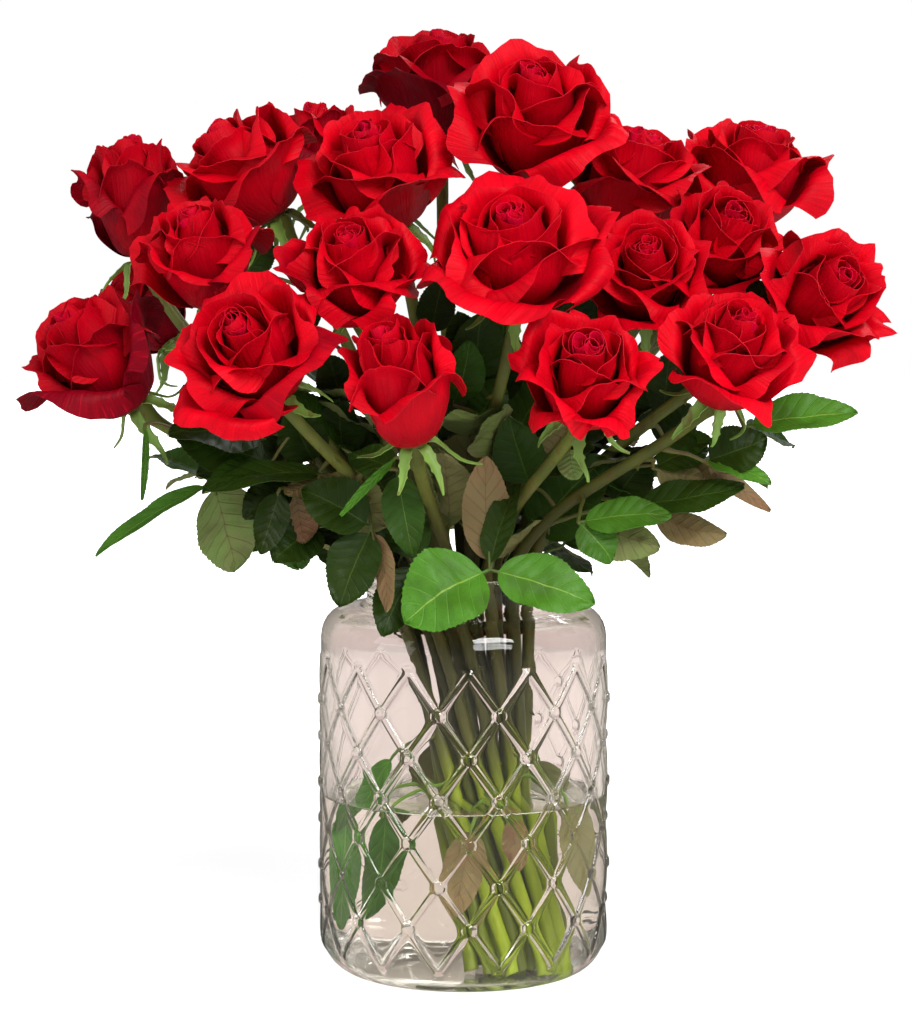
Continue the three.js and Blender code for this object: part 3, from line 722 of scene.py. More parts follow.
def clear_material(name, ior, edge_shade_colour, absorbed, density, pressed=False):
    """A clear body that lamps shine through, with painted shade that makes it greyer where it is seen
    edge on.
    """
    material, tree, shader = new_material(name)
    # painted shade: the base colour greys towards the edges, where the body is seen edge on
    rim = node(tree, "ShaderNodeLayerWeight", {"Blend": 0.5}, out="Facing")
    dress(tree, shader, Base_Color=tint(WHITE, edge_shade_colour, ramp(rim, 0.5, 0.97)), Roughness=0.0,
          IOR=ior, Transmission_Weight=1.0)
    x, y, z = parts_of(node(tree, "ShaderNodeTexCoord", out="Object"))
    patches, _ = grouped(tree, MOTTLE, 38.0, 400.0)
    wavy = patches * (0.15 if pressed else 0.08)
    if pressed:
        to_rib, to_bead, present = lattice(y.op("ARCTAN2", x), z)
        outer = ramp((x * x + y * y) ** 0.5, (JAR["body"] - 2.0) * MM, (JAR["body"] - 0.8) * MM)
        rib = 1.0 - ramp(to_rib, 0.0010, 0.0022)
        bead = 1.0 - ramp(to_bead, 0.0030, 0.0042)
        wavy = wavy + rib.op("MAXIMUM", bead * 1.6) * present * outer
    dress(tree, shader, Normal=bump(tree, wavy, 1.0, 0.0006))
    out = next(n for n in tree.nodes if n.type == "OUTPUT_MATERIAL")
    to_lamp = node(tree, "ShaderNodeLightPath", out="Is Shadow Ray")
    see_through = node(tree, "ShaderNodeBsdfTransparent", {"Color": (0.94, 0.96, 0.94)})
    surface = node(tree, "ShaderNodeMixShader",
                   {0: to_lamp, 1: Value(tree, shader.outputs[0]), 2: see_through})
    body = node(tree, "ShaderNodeVolumeAbsorption", {"Color": absorbed, "Density": density})
    plug(tree, surface, out.inputs["Surface"])
    plug(tree, body, out.inputs["Volume"])
    return material


PETAL = petal_material()
LEAF = leaf_material()
STEM = stem_material("rose stem", (0.22, 0.28, 0.006), (0.062, 0.058, 0.006), (0.125, 0.145, 0.020))
STALK = stem_material("leaf stalk", (0.12, 0.22, 0.02), (0.06, 0.10, 0.015), (0.14, 0.12, 0.03))
SEPAL = stem_material("rose sepal", (0.14, 0.26, 0.04), (0.14, 0.26, 0.04), (0.17, 0.30, 0.05))
GLASS = clear_material("pressed glass", 1.5, (0.99, 0.985, 0.97), (0.84, 0.88, 0.84), 4.0, pressed=True)
WATER = clear_material("water", 1.33, (0.96, 0.95, 0.93), (0.94, 0.92, 0.81), 4.0)


# ------------------------------------------------------------------ camera, light, floor
def aim(thing, target):
    thing.rotation_euler = (Vector(target) - thing.location).to_track_quat("-Z", "Y").to_euler()


CAMERA_PLACE, CAMERA_TARGET = (-0.004, -1.7, 0.4), (-0.004, 0.0, 0.2435)
LENS, SENSOR = 113.8, 36.0


def set_camera():
    data = bpy.data.cameras.new("camera")
    data.lens, data.sensor_width = LENS, SENSOR
    camera = bpy.data.objects.new("camera", data)
    camera.location = CAMERA_PLACE
    aim(camera, CAMERA_TARGET)
    scene.collection.objects.link(camera)
    scene.camera = camera


def soft_light(name, place, target, size, power):
    data = bpy.data.lights.new(name, "AREA")
    data.shape, data.size, data.size_y, data.energy = "RECTANGLE", size, size * 0.6, power
    light = bpy.data.objects.new(name, data)
    light.location = place
    aim(light, target)
    scene.collection.objects.link(light)


SEEN_THROUGH = (0.69, 0.535, 0.492)  # the warm backdrop, as the glass shows it


def set_world():
    """White to the camera, warm through the glass and paler overhead, dim in reflections."""
    world = bpy.data.worlds.new("studio")
    scene.world = world
    world.use_nodes = True
    tree = world.node_tree
    background = next(n for n in tree.nodes if n.type == "BACKGROUND")
    path = node(tree, "ShaderNodeLightPath", out=None)
    _, ahead, up = parts_of(node(tree, "ShaderNodeTexCoord", out="Generated"))
    warm = tint(SEEN_THROUGH, (0.70, 0.585, 0.53), ramp(up, 0.34, 0.66))
    within = tint((0.45, 0.39, 0.33), (0.68, 0.59, 0.52), ramp(up, 0.15, 0.6))
    within = tint((0.15, 0.135, 0.11), within, ramp(ahead, -0.4, 0.1))
    warm = tint(warm, within, path["Glossy Depth"].op("GREATER_THAN", 0.5))
    colour = layered((0.95, 0.95, 0.96), ((0.08, 0.08, 0.08), path["Is Glossy Ray"]),
                     (warm, path["Is Transmission Ray"]), (WHITE, path["Is Camera Ray"]))
    plug(tree, colour, background.inputs["Color"])


def make_floor():
    """A pale floor that fades to white far out, and is warm where it is seen through the glass."""
    size = 6.0
    mesh = bpy.data.meshes.new("floor")
    corners = [(-size, -size, 0), (size, -size, 0), (size, size, 0), (-size, size, 0)]
    mesh.from_pydata(corners, [], [(0, 1, 2, 3)])
    floor = bpy.data.objects.new("floor", mesh)
    floor.location.z = -0.0002
    scene.collection.objects.link(floor)
    material, tree, shader = new_material("pale floor")
    path = node(tree, "ShaderNodeLightPath", out=None)
    x, y, _ = parts_of(node(tree, "ShaderNodeTexCoord", out="Object"))
    within = tint((0.19, 0.175, 0.15), (0.70, 0.62, 0.545), ramp(y, -0.13, 0.0))
    inside = path["Is Transmission Ray"] * path["Glossy Depth"].op("GREATER_THAN", 0.5)
    plain = layered((0.93, 0.93, 0.93), ((0.14, 0.137, 0.13), path["Is Glossy Ray"]),
                    ((0.70, 0.575, 0.52), path["Is Transmission Ray"]), (within, inside))
    far = ramp((x * x + y * y) ** 0.5, 0.30, 1.1) * path["Is Camera Ray"]
    dress(tree, shader, Base_Color=plain, Roughness=0.9, Specular_IOR_Level=0.1,
          Emission_Color=tint(BLACK, WHITE, far), Emission_Strength=1.0)
    mesh.materials.append(material)


set_camera()
set_world()
make_floor()
soft_light("key", (0.85, -1.75, 1.6), (0.05, 0, 0.35), 1.3, 52.5)
soft_light("fill", (-1.7, -1.0, 0.9), (0, 0, 0.3), 1.2, 5)
soft_light("rim", (0.6, 1.6, 1.5), (0, 0, 0.4), 1.2, 9)
scene.view_settings.view_transform = "Standard"
scene.view_settings.look = "None"
scene.cycles.use_denoising = True
scene.cycles.max_bounces = 24
scene.cycles.transmission_bounces = 24
scene.cycles.glossy_bounces = 24
scene.cycles.transparent_max_bounces = 16


# ------------------------------------------------------------------ the jar and its water
def jar_profile():
    """The jar's section: from the middle of its foot up the wall, over the lip and down inside."""
    body, foot, neck, wall = JAR["body"], JAR["foot"], JAR["neck"], JAR["wall"]
    line = [(0, 3), (20, 2.8), (40, 1.8), (foot - 8, 0.6), (foot - 4, 0), (foot, 0)]
    reach = body - foot
    for k in range(1, 13):
        turn = math.pi / 2 * k / 12
        line.append((foot + reach * math.sin(turn), 21 * (1 - math.cos(turn))))
    z = 21.0
    while z < 170:
        z += 1.06
        line.append((body, z))
    line += [(body, 174), (body, 178), (body - 0.4, 181.5), (body - 1.4, 185), (body - 3.2, 188.2),
             (body - 5.8, 190.9), (body - 9, 192.8), (body - 13, 194), (neck + 6, 194.8),
             (neck + 2.6, 195.6), (neck + 0.8, 197), (neck, 199.5), (neck, 203), (neck, 206),
             (neck + 0.7, 207.4), (neck + 1.5, 208.6), (neck + 1.6, 210), (neck + 1.1, 211.4),
             (neck + 0.1, 212)]
    outer = len(line)
    line += [(neck - 1.2, 212), (neck - 2.4, 211.3), (neck - 3.2, 209.5), (neck - wall, 206),
             (neck - wall, 200), (neck - wall, 196.5), (neck - wall + 1.2, 193.6), (neck + 1.5, 191.6),
             (neck + 7, 190.6), (body - 14, 189.6), (body - 9.6, 187.8), (body - 6.6, 185),
             (body - 4.6, 181), (body - wall, 176), (body - wall, 166)]
    line += [(body - wall, z) for z in range(156, 26, -6)]
    line += [(body - wall - 0.6, 20), (body - 6.4, 14.5), (body - 10, 10), (body - 15, 7.4),
             (foot - 2, 6.1), (40, 6), (20, 6), (0, 6)]
    return line, outer


COLUMNS = 450  # steps round the jar, thirty to a diamond
WATER_COLUMNS = 180


def jar_tree():
    tree, given = new_tree("pressed jar", Rows=("Int", 10), Outer_Rows=("Int", 5), Columns=("Int", 90),
                           Rib_Height=("Float", 0.0010), Rib_Width=("Float", 0.0040),
                           Bead_Radius=("Float", 0.0042), Bead_Height=("Float", 0.0021),
                           Waviness=("Float", 0.0002), Material=("Material", None))
    grid = node(tree, "GeometryNodeMeshGrid", {"Size X": 1.0, "Size Y": 1.0,
                                               "Vertices X": given["Columns"] + 1,
                                               "Vertices Y": given["Rows"]})
    x, y, _ = parts_of(position(tree))
    row = ((y + 0.5) * (given["Rows"] - 1.0)).op("ROUND")
    turn = (x + 0.5) * (2 * math.pi)
    section = node(tree, "GeometryNodeSampleIndex",
                   {"Geometry": given["Geometry"], "Value": position(tree), "Index": row},
                   data_type="FLOAT_VECTOR")
    radius, _, height = parts_of(section)
    outside = row.op("LESS_THAN", given["Outer Rows"])

    to_rib, to_bead, present = lattice(turn, height)
    rib = 1.0 - ramp(to_rib, given["Rib Width"] * 0.08, given["Rib Width"] * 0.6)
    bead = 1.0 - ramp(to_bead, given["Bead Radius"] * 0.45, given["Bead Radius"] * 1.05)
    relief = (rib * given["Rib Height"]).op("MAXIMUM", bead * given["Bead Height"])
    around = xyz(tree, cos(turn) * radius, sin(turn) * radius, height)
    ripple = (noise(tree, 34.0, detail=1.5, vector=around) - 0.5) * given["Waviness"]
    pole = ramp(radius, 0.0, 0.03)
    swell = relief * present * outside + ripple * pole * blend(1.6, 1.0, outside)
    radius = radius + swell
    place = xyz(tree, cos(turn) * radius, sin(turn) * radius, height)
    sheet = moved(tree, grid, place)
    whole = node(tree, "GeometryNodeMergeByDistance", {"Geometry": sheet, "Distance": 2e-5})
    finish_tree(tree, shade(tree, whole, 75), given["Material"])
    return tree


def line_mesh(name, line):
    points = [(r * MM, 0, z * MM) for r, z in line]
    return point_mesh(name, points, [(k, k + 1) for k in range(len(points) - 1)])


def make_jar(tree):
    line, outer = jar_profile()
    jar = grown("jar", tree, line_mesh("jar section", line), Rows=len(line), Outer_Rows=outer,
                Columns=COLUMNS, Material=GLASS)
    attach(jar, BODY)
    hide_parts("glass_vase")


def make_water(tree):
    body, foot, wall = JAR["body"], JAR["foot"], JAR["wall"]
    reach = 0.15
    line = [(0, 6 - reach), (20, 6 - reach), (40, 6 - reach), (foot - 2, 6 - reach), (body - 15, 7.3),
            (body - 9.9, 9.9), (body - 6.3, 14.4), (body - wall - 0.6 + reach, 20)]
    line += [(body - wall + reach, z) for z in range(27, 92, 6)]
    top = WATER_LEVEL
    line += [(body - wall + reach, top), (body - wall + reach, top + 1.3),
             (body - wall - 0.5, top + 0.6), (body - wall - 1.4, top + 0.1),
             (body - wall - 3, top - 0.1), (50, top - 0.15), (25, top - 0.15), (0, top - 0.15)]
    water = grown("water_body", tree, line_mesh("water section", line), Rows=len(line), Outer_Rows=0,
                  Columns=WATER_COLUMNS, Waviness=0.0, Material=WATER)
    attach(water, BODY)
    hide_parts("water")


lathe_tree = jar_tree()
make_jar(lathe_tree)
make_water(lathe_tree)


# ------------------------------------------------------------------ where the stems run
def neck_places():
    """Where each stem crosses the neck: the flowers' plan, drawn in and pushed apart."""
    places = [Vector(rose[1][:2]) * NECK_SHARE for rose in ROSES]
    for _ in range(400):
        for i in range(len(places)):
            for j in range(i + 1, len(places)):
                apart = places[j] - places[i]
                short = NECK_SPACING - apart.length
                if short > 0:
                    apart.length = short / 2
                    places[i] = places[i] - apart
                    places[j] = places[j] + apart
        for p in places:
            if p.length > NECK_REACH:
                p.length = NECK_REACH
    return places


def bezier(a, b, c, d, t):
    s = 1 - t
    return a * s ** 3 + b * (3 * s * s * t) + c * (3 * s * t * t) + d * t ** 3


class Stem:
    """The lie of one rose, in millimetres."""

    def __init__(self, name, head, faces, spread, tall, openness, start, deep_red_and_shade, place):
        self.name, self.spread, self.tall = name, spread, tall
        self.openness, self.start, self.deep_red_and_shade = openness, start, deep_red_and_shade
        self.axis = Vector(faces).normalized()
        self.hip = Vector(head) - self.axis * (tall / 2)
        self.neck = Vector((place.x, place.y, NECK_Z))
        down = Matrix.Rotation(SPIRAL_TURN, 2) @ place * FOOT_SHARE + FOOT_SHIFT
        lean = math.atan2((down - place).length, NECK_Z - JAR["floor"])
        self.foot = Vector((down.x, down.y, JAR["floor"] + GAP + STEM_RADIUS * math.sin(lean)))
        reach = (self.hip - self.neck).length
        upward = (self.neck - self.foot).normalized()
        top = self.hip - self.axis * (GAP / 2)
        self.curve = (self.neck, self.neck + upward * (0.3 * reach),
                      top - self.axis * (0.3 * reach), top)
        self.samples = [bezier(*self.curve, k / 200) for k in range(201)]

    def above_neck(self, share):
        """A point of the bend, by its share of the bend's length."""
        steps = [(b - a).length for a, b in zip(self.samples, self.samples[1:])]
        want = share * sum(steps)
        for a, b, step in zip(self.samples, self.samples[1:], steps):
            if want <= step:
                return a.lerp(b, want / step)
            want -= step
        return self.samples[-1]

    def length(self):
        return sum((b - a).length for a, b in zip(self.samples, self.samples[1:]))

    def at_height(self, z):
        """Point and direction by height."""
        if z <= NECK_Z:
            return self.foot.lerp(self.neck, (z - self.foot.z) / (self.neck.z - self.foot.z)), \
                (self.neck - self.foot).normalized()
        for a, b in zip(self.samples, self.samples[1:]):
            if b.z >= z:
                return a.lerp(b, (z - a.z) / max(b.z - a.z, 1e-6)), (b - a).normalized()
        return self.samples[-1], self.axis


stems = [Stem(*rose, place) for rose, place in zip(ROSES, neck_places())]
stem_named = {stem.name: stem for stem in stems}


def stem_tree():
    """A tapering round stem along a line, with bent thorns."""
    tree, given = new_tree("thorned stem", Thorns=("Int", 0), Thorn_Length=("Float", 0.006),
                           Seed=("Int", 0), Sides=("Int", 14), Step=("Float", 0.0028),
                           Age=("Float", 0.1), Material=("Material", None))
    line = node(tree, "GeometryNodeMeshToCurve", {"Mesh": given["Geometry"]})
    line = node(tree, "GeometryNodeCurveSplineType", {"Curve": line}, spline_type="CATMULL_ROM")
    line = node(tree, "GeometryNodeResampleCurve", {"Curve": line, "Length": given["Step"]},
                mode="LENGTH")
    girth = field(tree, "girth")
    knobbly = (noise(tree, 60.0, detail=1.0, vector=position(tree)) - 0.5) * 0.12 + 1.0
    ring = node(tree, "GeometryNodeCurvePrimitiveCircle", {"Resolution": given["Sides"], "Radius": 1.0},
                mode="RADIUS")
    body = node(tree, "GeometryNodeCurveToMesh",
                {"Curve": line, "Profile Curve": ring, "Fill Caps": True, "Scale": girth * knobbly})
    body = shade(tree, body, 50)

    spots = node(tree, "GeometryNodeCurveToPoints", {"Curve": line, "Count": given["Thorns"] + 2},
                 out=None, mode="COUNT")
    inner = (index(tree).op("GREATER_THAN", 0.5)) * (index(tree).op("LESS_THAN", given["Thorns"] + 0.5))
    cone = node(tree, "GeometryNodeMeshCone",
                {"Vertices": 8, "Side Segments": 5, "Radius Top": 0.0002, "Radius Bottom": 0.0024,
                 "Depth": given["Thorn Length"]})
    x, y, z = parts_of(position(tree))
    share = z / given["Thorn Length"]
    hook = xyz(tree, x * 0.6, y * 1.5 - share * share * 0.0022, z)
    hooked = node(tree, "GeometryNodeSetShadeSmooth", {"Geometry": moved(tree, cone, hook)})
    turn = chance(tree, 0.0, 2 * math.pi, index(tree), given["Seed"])
    facing = node(tree, "FunctionNodeAlignRotationToVector", {"Vector": spots["Tangent"]}, axis="Y")
    facing = node(tree, "FunctionNodeRotateRotation",
                  {"Rotation": facing, "Rotate By": node(tree, "FunctionNodeAxisAngleToRotation",
                                                         {"Axis": (0.0, 1.0, 0.0), "Angle": turn})},
                  rotation_space="LOCAL")
    thorns = node(tree, "GeometryNodeInstanceOnPoints",
                  {"Points": spots["Points"], "Selection": inner, "Instance": hooked,
                   "Rotation": facing})
    whole = store(tree, join(tree, body, thorns), "age", given["Age"])
    finish_tree(tree, whole, given["Material"])
    return tree


def make_stems(tree):
    for n, stem in enumerate(stems):
        points = [stem.foot, stem.foot.lerp(stem.neck, 0.33), stem.foot.lerp(stem.neck, 0.67), stem.neck]
        girths = [STEM_RADIUS] * 4
        length = stem.length()
        clear = 1 - HIP_SWELL[0][0] * HIP_LENGTH / length
        for k in range(1, 8):
            points.append(stem.above_neck(k / 8 * clear))
            girths.append(STEM_RADIUS)
        for below, share in HIP_SWELL:
            points.append(stem.above_neck(1 - below * HIP_LENGTH / length))
            girths.append(STEM_RADIUS + share * (HIP_RADIUS - STEM_RADIUS))
        edges = [(k, k + 1) for k in range(len(points) - 1)]
        source = point_mesh("stem line", [p * MM for p in points], edges,
                            girth=[g * MM for g in girths])
        piece = grown("stem_and_hip_" + stem.name, tree, source, Thorns=THORNS, Seed=n + 3,
                      Age=(n * AGE_STEP) % 1.0, Material=STEM)
        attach(piece, BODY)
        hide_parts("stem_" + stem.name)


stems_tree = stem_tree()
make_stems(stems_tree)

# ------------------------------------------------------------------ flower heads
def petal_sheets(tree, first, count, grid):
    """Flat petals, each knowing its own number in the spiral and its columns."""
    spots = node(tree, "GeometryNodePoints", {"Count": count})
    sheets = sheet_grid(tree, grid, grid, spots)
    sheets = store(tree, sheets, "copy", field(tree, "copy") + first)
    column = ((field(tree, "across") + 1.0) * (0.5 * (grid - 1))).op("ROUND")
    sheets = store(tree, sheets, "column", column + field(tree, "copy") * 100.0)
    return store(tree, sheets, "stride", 1.0 / (grid - 1))


def petal_tree():
    """A rose head: petals on a spiral, each a sheet bent along its length and wrapped round the axis."""
    tree, given = new_tree(
        "rose petals", Deep=("Float", 0.0), Heart=("Int", 14), Petals=("Int", 30),
        Height=("Float", 0.056), Spread=("Float", 0.08), Openness=("Float", 1.0),
        Ruffle=("Float", 1.0), Start=("Float", 0.0), Seed=("Int", 0), Thickness=("Float", 0.0003),
        Turn=("Rotation", None), Place=("Vector", None), Material=("Material", None))
    sheet = join(tree, petal_sheets(tree, 0.0, given["Heart"], HEART_GRID),
                 petal_sheets(tree, given["Heart"], given["Petals"] - given["Heart"], PETAL_GRID))
    u, v, copy = (field(tree, name) for name in ("across", "along", "copy"))
    ring = copy / (given["Petals"] - 1.0)
    sheet = store(tree, sheet, "ring", ring)
    sheet = store(tree, sheet, "deep_red_and_shade", given["Deep"])
    sheet = store(tree, sheet, "chosen", chance(tree, 0.0, 1.0, copy, given["Seed"] + 9))
    odd = oddness(tree, copy, given["Seed"] * 17)
    s = ring * given["Openness"]
    edge = abs(u)
    guard = ramp(s, 0.72, 1.0)
    # the petal's lean from the axis: at its base, low down, halfway and at its tip
    base = s ** 0.7 * 58.0 + 32.0
    low = s ** 1.6 * 30.0 + guard * 12.0 - 2.0 + odd(10, 6.0) * s
    half_way = s ** 1.8 * 30.0 + guard * 12.0 - 12.0
    tip = s ** 1.5 * 68.0 + guard * 8.0 - 34.0 + odd(1, 16.0) * s
    lean = blend(base, low, ramp(v, 0.0, 0.30)) + (half_way - low) * ramp(v, 0.25, 0.68) \
        + (tip - half_way) * ramp(v, 0.55, 1.0)
    # margins roll outwards, most of all at the two corners, so that the tip ends in a point
    corner = ramp(edge, 0.15, 0.95)
    fold_line = 0.82 - corner * 0.13 + odd(17, 0.06)
    folded = ((v - fold_line) / 0.16).op("MAXIMUM", 0.0).op("MINIMUM", 1.0)
    folded = folded * folded * (3.0 - folded * 2.0)
    curl = s ** 1.3 * folded * (corner * 60.0 + 56.0) * (1.0 + odd(2, 0.35) + u * odd(11, 0.55))
    wave = sin(u * (3.4 + odd(3, 1.4)) + odd(4, 3.0)) * ramp(v, 0.4, 1.0) * s * given["Ruffle"] * 15.0
    lean = (lean + curl + wave) * DEGREE

    ragged = sin(u * 13.0 + odd(13, 3.0)) * 0.024 + sin(u * 29.0 + odd(14, 3.0)) * 0.012
    size = given["Height"] * (1.02 + ring * 0.10 - ring * ring * 0.16) * (1.0 + odd(5, 0.05))
    uneven = sin(u * 8.0 + odd(18, 3.0)) * (1.0 - ring) ** 2.0 * 0.022
    point = (edge * -9.0).op("EXPONENT") * s * s * 0.065
    length = size * (1.0 - edge ** 2.8 * (0.22 + ring * 0.08) + point + u * odd(6, 0.06)
                     + s * s * ragged + uneven)
    step = length * field(tree, "stride")
    reach, rise = way_along(tree, lean, step, field(tree, "column"))
    spread = given["Spread"] / 0.082
    radius = reach * spread * (1.0 + u * 0.10 * (1.0 - s)) + 0.0022 + ring * 0.0012 + u * 0.0005
    radius = radius.op("SMOOTH_MAX", ring * 0.003 + 0.0006, 0.002)
    half = spread * (0.0185 + ring ** 0.8 * 0.0175) * (0.26 + ramp(v, 0.0, 0.60) * 0.74)
    half = half * (1.0 + odd(7, 0.08))
    bend = radius.op("MAXIMUM", 0.0040) * (1.0 + s ** 2.0 * 0.55)
    roll = s ** 1.3 * ramp(edge, 0.45, 1.0) * ramp(v, 0.25, 0.85)
    angle = u * (half - roll * 0.004) / bend
    out = radius - bend * (1.0 - cos(angle)) + roll * (0.0055 * (1.0 + odd(12, 0.5)))
    side = bend * sin(angle) + rise * odd(8, 0.06)
    crumple = node(tree, "ShaderNodeTexNoise",
                   {"Vector": xyz(tree, u * 1.2, v * 1.7, copy * 7.3 + given["Seed"]), "Scale": 1.0,
                    "Detail": 2.0, "Roughness": 0.45}, out="Color")
    cx, cy, cz = parts_of(crumple)
    wild = ramp(v, 0.15, 1.0) * (0.0004 + s * 0.0056) * given["Ruffle"]
    frill = sin(u * (9.0 + odd(15, 3.0)) + odd(16, 3.0)) * ramp(v, 0.66, 1.0) * s * s
    frill = frill * given["Ruffle"] * 0.0022
    out = out + (cx - 0.5) * wild * 2.0 + frill
    rise = rise + (cz - 0.5) * wild * 1.6 + frill * 0.6
    side = side + (cy - 0.5) * wild * 1.2

    facing = copy * GOLDEN_ANGLE + odd(9, 0.18) + given["Start"] * (2 * math.pi)
    sheet = moved(tree, sheet, round_the_axis(out, side, rise, facing))
    sheet = node(tree, "GeometryNodeFlipFaces", {"Mesh": sheet})
    finish_sheet(tree, sheet, given)
    return tree


def make_heads(tree):
    for n, stem in enumerate(stems):
        axis = stem.axis + Vector(NOD.get(stem.name, (0, 0, 0)))
        turn = Vector((0, 0, 1)).rotation_difference(axis).to_euler()
        height = stem.tall * MM * HEAD_HEIGHT.get(stem.name, 1.0)
        petals = PETALS_LEAST + round(stem.openness * PETALS_MORE)
        piece = grown("petals_" + stem.name, tree, Heart=HEART_PETALS, Petals=petals,
                      Height=height, Spread=stem.spread * MM, Openness=stem.openness,
                      Start=stem.start, Deep=stem.deep_red_and_shade, Seed=n * 5 + 2, Turn=turn,
                      Place=stem.hip * MM, Material=PETAL)
        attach(piece, BODY)
        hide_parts("rose_" + stem.name)


make_heads(petal_tree())


# ------------------------------------------------------------------ sepals
def sepal_tree():
    """The five green sepals under a head: narrow blades thrown back over the hip, with curling tips."""
    tree, given = new_tree(
        "rose sepals", Count=("Int", 5), Length=("Float", 0.032), Base_Radius=("Float", 0.0042),
        Seed=("Int", 0), Thickness=("Float", 0.0005), Turn=("Rotation", None), Place=("Vector", None),
        Material=("Material", None))
    spots = node(tree, "GeometryNodePoints", {"Count": given["Count"]})
    sheet = sheet_grid(tree, *SEPAL_GRID, spots)
    u, v, copy = (field(tree, name) for name in ("across", "along", "copy"))
    odd = oddness(tree, copy, given["Seed"] * 13)
    edge = abs(u)
    lean = (ramp(v, 0.0, 0.25) * (62.0 + odd(1, 26.0)) + 74.0
            + ramp(v, 0.45, 1.0) * odd(2, 100.0)) * DEGREE
    step = given["Length"] * (1.0 + odd(3, 0.25)) / (SEPAL_GRID[1] - 1.0)
    column = copy * 100.0 + ((u + 1.0) * (0.5 * (SEPAL_GRID[0] - 1))).op("ROUND")
    reach, rise = way_along(tree, lean, step, column)
    lobes = (centred_part(v * 5.0 + odd(4, 0.5)) * 2.0).op("ABSOLUTE") ** 3.0
    lobed = ramp(chance(tree, 0.0, 1.0, copy, 5), 0.3, 0.6)
    lobes = lobes * ramp(v, 0.15, 0.3) * (1.0 - ramp(v, 0.6, 0.75)) * lobed
    half = 0.0027 * (1.0 - v) ** 0.9 * (0.75 + ramp(v, 0.0, 0.2) * 0.45) + 0.0004
    half = half + lobes * edge ** 4.0 * 0.0014
    side = u * half + ramp(v, 0.5, 1.0) * odd(6, 0.006)
    cup = (1.0 - u * u) * half * 0.35
    out = given["Base Radius"] + reach + cos(lean) * cup
    rise = rise - sin(lean) * cup
    facing = copy * (2 * math.pi / 5) + odd(5, 0.2) + given["Seed"] * 0.7
    sheet = moved(tree, sheet, round_the_axis(out, side, rise, facing))
    finish_sheet(tree, sheet, given)
    return tree


def make_sepals(tree):
    for n, stem in enumerate(stems):
        turn = Vector((0, 0, 1)).rotation_difference(stem.axis).to_euler()
        piece = grown("sepals_" + stem.name, tree, Length=SEPAL_LENGTH * MM, Seed=n + 1, Turn=turn,
                      Place=(stem.hip - stem.axis * 1.5) * MM, Material=SEPAL)
        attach(piece, BODY)


make_sepals(sepal_tree())


# ------------------------------------------------------------------ leaves
def blade_tree():
    """Leaflets: toothed oval blades, quilted between the veins, folded on the midrib and arched."""
    tree, given = new_tree("rose leaflets", Thickness=("Float", 0.00035), Teeth=("Float", 20.0),
                           Veins=("Float", 7.0), Quilting=("Float", 0.0004), Seed=("Int", 0),
                           Material=("Material", None))
    sheet = sheet_grid(tree, *BLADE_GRID, given["Geometry"])
    u, v, copy = (field(tree, name) for name in ("across", "along", "copy"))
    odd = oddness(tree, copy, given["Seed"] * 11)
    edge = abs(u)
    t = ((v - 0.09) / 0.91).op("MAXIMUM", 0.0)
    outline = t ** 0.52 * (1.0 - t).op("MAXIMUM", 0.0) ** 0.78 * 2.34
    tooth = (t * given["Teeth"]).op("FRACT")
    jag = tooth * ramp(t, 0.06, 0.2) * (1.0 - ramp(t, 0.9, 1.0))
    half = field(tree, "width") * 0.55 * outline * (0.965 + edge ** 5.0 * jag * 0.06) + 0.0006
    x = u * half
    length = field(tree, "length")
    flow = edge ** 0.85 * 1.5
    pleat = cos((t * given["Veins"] - flow) * (2 * math.pi))
    quilt = given["Quilting"] * pleat * -2.4 * (edge * (1.0 - edge * edge)) * ramp(t, 0.0, 0.15)
    crumple = node(tree, "ShaderNodeTexNoise",
                   {"Vector": xyz(tree, u * 1.3, v * 3.0, copy * 5.1 + given["Seed"]), "Scale": 1.0,
                    "Detail": 2.0}) - 0.5
    width = field(tree, "width")
    fold = abs(x) * (0.20 + odd(1, 0.12))
    arch = (0.20 + odd(2, 0.05) * 4.0) * length * v * (1.0 - v)
    waves = sin(v * 11.0 + odd(3, 3.0)) * edge ** 2.0 * width * 0.055 * ramp(v, 0.15, 0.4)
    lift = fold + quilt + crumple * width * 0.22 * ramp(v, 0.1, 0.4) + arch + waves
    swing = sin(v * 2.4) * odd(4, 0.09) * length * v * (1.0 - v) * 2.0
    joint, along, sideways, face = (field(tree, name, "FLOAT_VECTOR") for name in
                                    ("joint", "along axis", "side axis", "face axis"))
    place = vector_sum(joint, scaled(along, v * length + edge ** 4.0 * jag * 0.0006),
                       scaled(sideways, x + swing), scaled(face, lift))
    sheet = moved(tree, sheet, place)
    sheet = node(tree, "GeometryNodeFlipFaces", {"Mesh": sheet})
    solid = thicken(tree, sheet, given["Thickness"])
    finish_tree(tree, solid, given["Material"])
    return tree


def blade_points(blades):
    """One point for each blade, with the facts that its shape and its colours follow."""
    facts = {key: [] for key in ("joint", "along axis", "side axis", "face axis", "length", "width",
                                 "fresh", "rust")}
    for foot, tip, width, top, fresh, *rust in blades:
        foot, tip = Vector(foot), Vector(tip)
        along = (tip - foot).normalized()
        side = Vector(top).cross(along).normalized()
        for key, value in zip(facts, (foot * MM, along, side, along.cross(side),
                                      (tip - foot).length * MM, width * MM, fresh,
                                      *(rust or [USUAL_RUST]))):
            facts[key].append(tuple(value) if isinstance(value, Vector) else value)
    return point_mesh("leaflet points", facts["joint"], **facts)


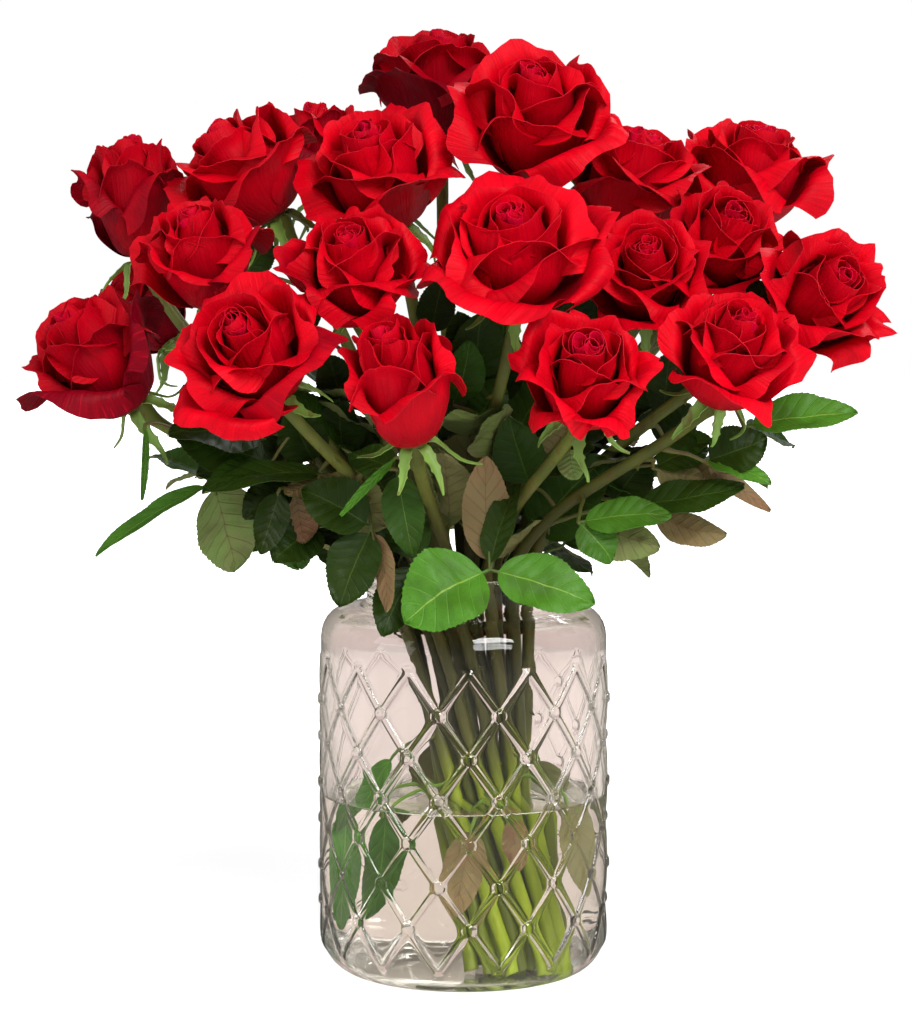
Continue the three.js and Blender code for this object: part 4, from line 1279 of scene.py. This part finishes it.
def make_leaves(blades_tree, stalks_tree):
    for k, (on, z, joint, leaflets) in enumerate(LEAVES):
        name = "%02d" % (k + 1)
        point, along = stem_named[on].at_height(z)
        joint = Vector(joint)
        out = joint - point
        sideways = (out - along * out.dot(along)).normalized()
        points = [point + sideways * (STEM_RADIUS - 0.6),
                  point + sideways * (STEM_RADIUS + 4) + along * 2]
        points += [points[1].lerp(joint, 0.5) + Vector((0, 0, 0.04 * out.length)), joint]
        girths, edges = [2.2, 1.3, 1.0, 0.95], [(0, 1), (1, 2), (2, 3)]
        for tip, *_ in leaflets:
            edges.append((len(points), len(points) + 1))
            points += [joint, joint.lerp(Vector(tip), 0.16)]
            girths += [0.9, 0.6]
        source = point_mesh("stalk line", [p * MM for p in points], edges,
                            girth=[g * MM for g in girths])
        stalk = grown("leaf_stalk_" + name, stalks_tree, source, Thorns=0, Sides=8, Step=0.002,
                      Material=STALK)
        source = blade_points([(joint, *leaflet) for leaflet in leaflets])
        blades = grown("leaf_blades_" + name, blades_tree, source, Seed=k + 1, Material=LEAF)
        for piece in (stalk, blades):
            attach(piece, BODY)
            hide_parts("leaf_" + name)


def leaves_in_the_middle():
    """Dark blades standing up among the stems."""
    rng = np.random.default_rng(4)
    blades = []
    for k in range(MIDDLE_LEAVES):
        turn = GOLDEN_ANGLE * k
        outward = Vector((math.cos(turn), math.sin(turn), 0))
        from_axis = 12 + 30 * ((k + 0.5) / MIDDLE_LEAVES) ** 0.5
        foot = Vector((outward.x * from_axis * 1.7, outward.y * from_axis * 0.8, rng.uniform(214, 285)))
        away = (outward * rng.uniform(0.3, 1.1) + Vector((0, 0, rng.uniform(0.2, 1.2)))).normalized()
        top = -outward + Vector((0, rng.uniform(-1.2, 0), 0.4))
        blades.append((foot, foot + away * rng.uniform(36, 50), rng.uniform(24, 32), top,
                       rng.uniform(0.0, 0.2), rng.uniform(0.1, 0.6)))
    return blades


def leaves_round_the_back():
    """Blades leaning out of the bunch, from its right side round the back to its left."""
    rng = np.random.default_rng(11)
    blades = []
    for k in range(BACK_LEAVES):
        turn = math.radians(-14 + 208 * (k + 0.5) / BACK_LEAVES + rng.uniform(-7, 7))
        outward = Vector((math.cos(turn), math.sin(turn), 0))
        from_axis, z = rng.uniform(30, 62), rng.uniform(226, 306)
        foot = Vector((outward.x * from_axis * 1.35, outward.y * from_axis * 0.85, z))
        away = (outward + Vector((0, 0, rng.uniform(-0.75, 0.55)))).normalized()
        top = outward * rng.uniform(0.2, 0.8) + Vector((0, 0, 0.8))
        blades.append((foot, foot + away * rng.uniform(32, 48), rng.uniform(24, 34),
                       top * (1 if rng.uniform() < 0.75 else -1),
                       rng.uniform(0.03, 0.45), rng.uniform(0.1, 0.8)))
    return blades


def nearest_on_stem(place, below):
    """The point of a stem nearest to a place, at a height below it."""
    z = place.z - below
    points = [stem.at_height(z)[0] for stem in stems if stem.hip.z > z]
    return min(points, key=lambda p: (p - place).length)


def make_further_leaves(blades_tree, stalks_tree):
    for name, blades in (("front", FURTHER_LEAVES),
                         ("back", leaves_round_the_back()),
                         ("middle", leaves_in_the_middle()), ("sunken", SUNKEN_LEAVES)):
        points, edges, girths = [], [], []
        for foot, tip, *_ in blades:
            foot, tip = Vector(foot), Vector(tip)
            root = nearest_on_stem(foot, 12 if name != "sunken" else -8)
            middle = root.lerp(foot, 0.55) + Vector((0, 0, 3))
            first = len(points)
            points += [root, middle, foot, foot.lerp(tip, 0.16)]
            girths += [1.3, 1.0, 0.9, 0.6]
            edges += [(first + k, first + k + 1) for k in range(3)]
        source = point_mesh("stalk lines", [p * MM for p in points], edges,
                            girth=[g * MM for g in girths])
        stalks = grown("stalks_" + name, stalks_tree, source, Thorns=0, Sides=7, Step=0.003,
                       Material=STALK)
        leaves = grown("leaves_" + name, blades_tree, blade_points(blades), Seed=len(name) + 40,
                       Material=LEAF)
        for piece in (stalks, leaves):
            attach(piece, BODY)


blades_tree = blade_tree()
make_leaves(blades_tree, stems_tree)
make_further_leaves(blades_tree, stems_tree)
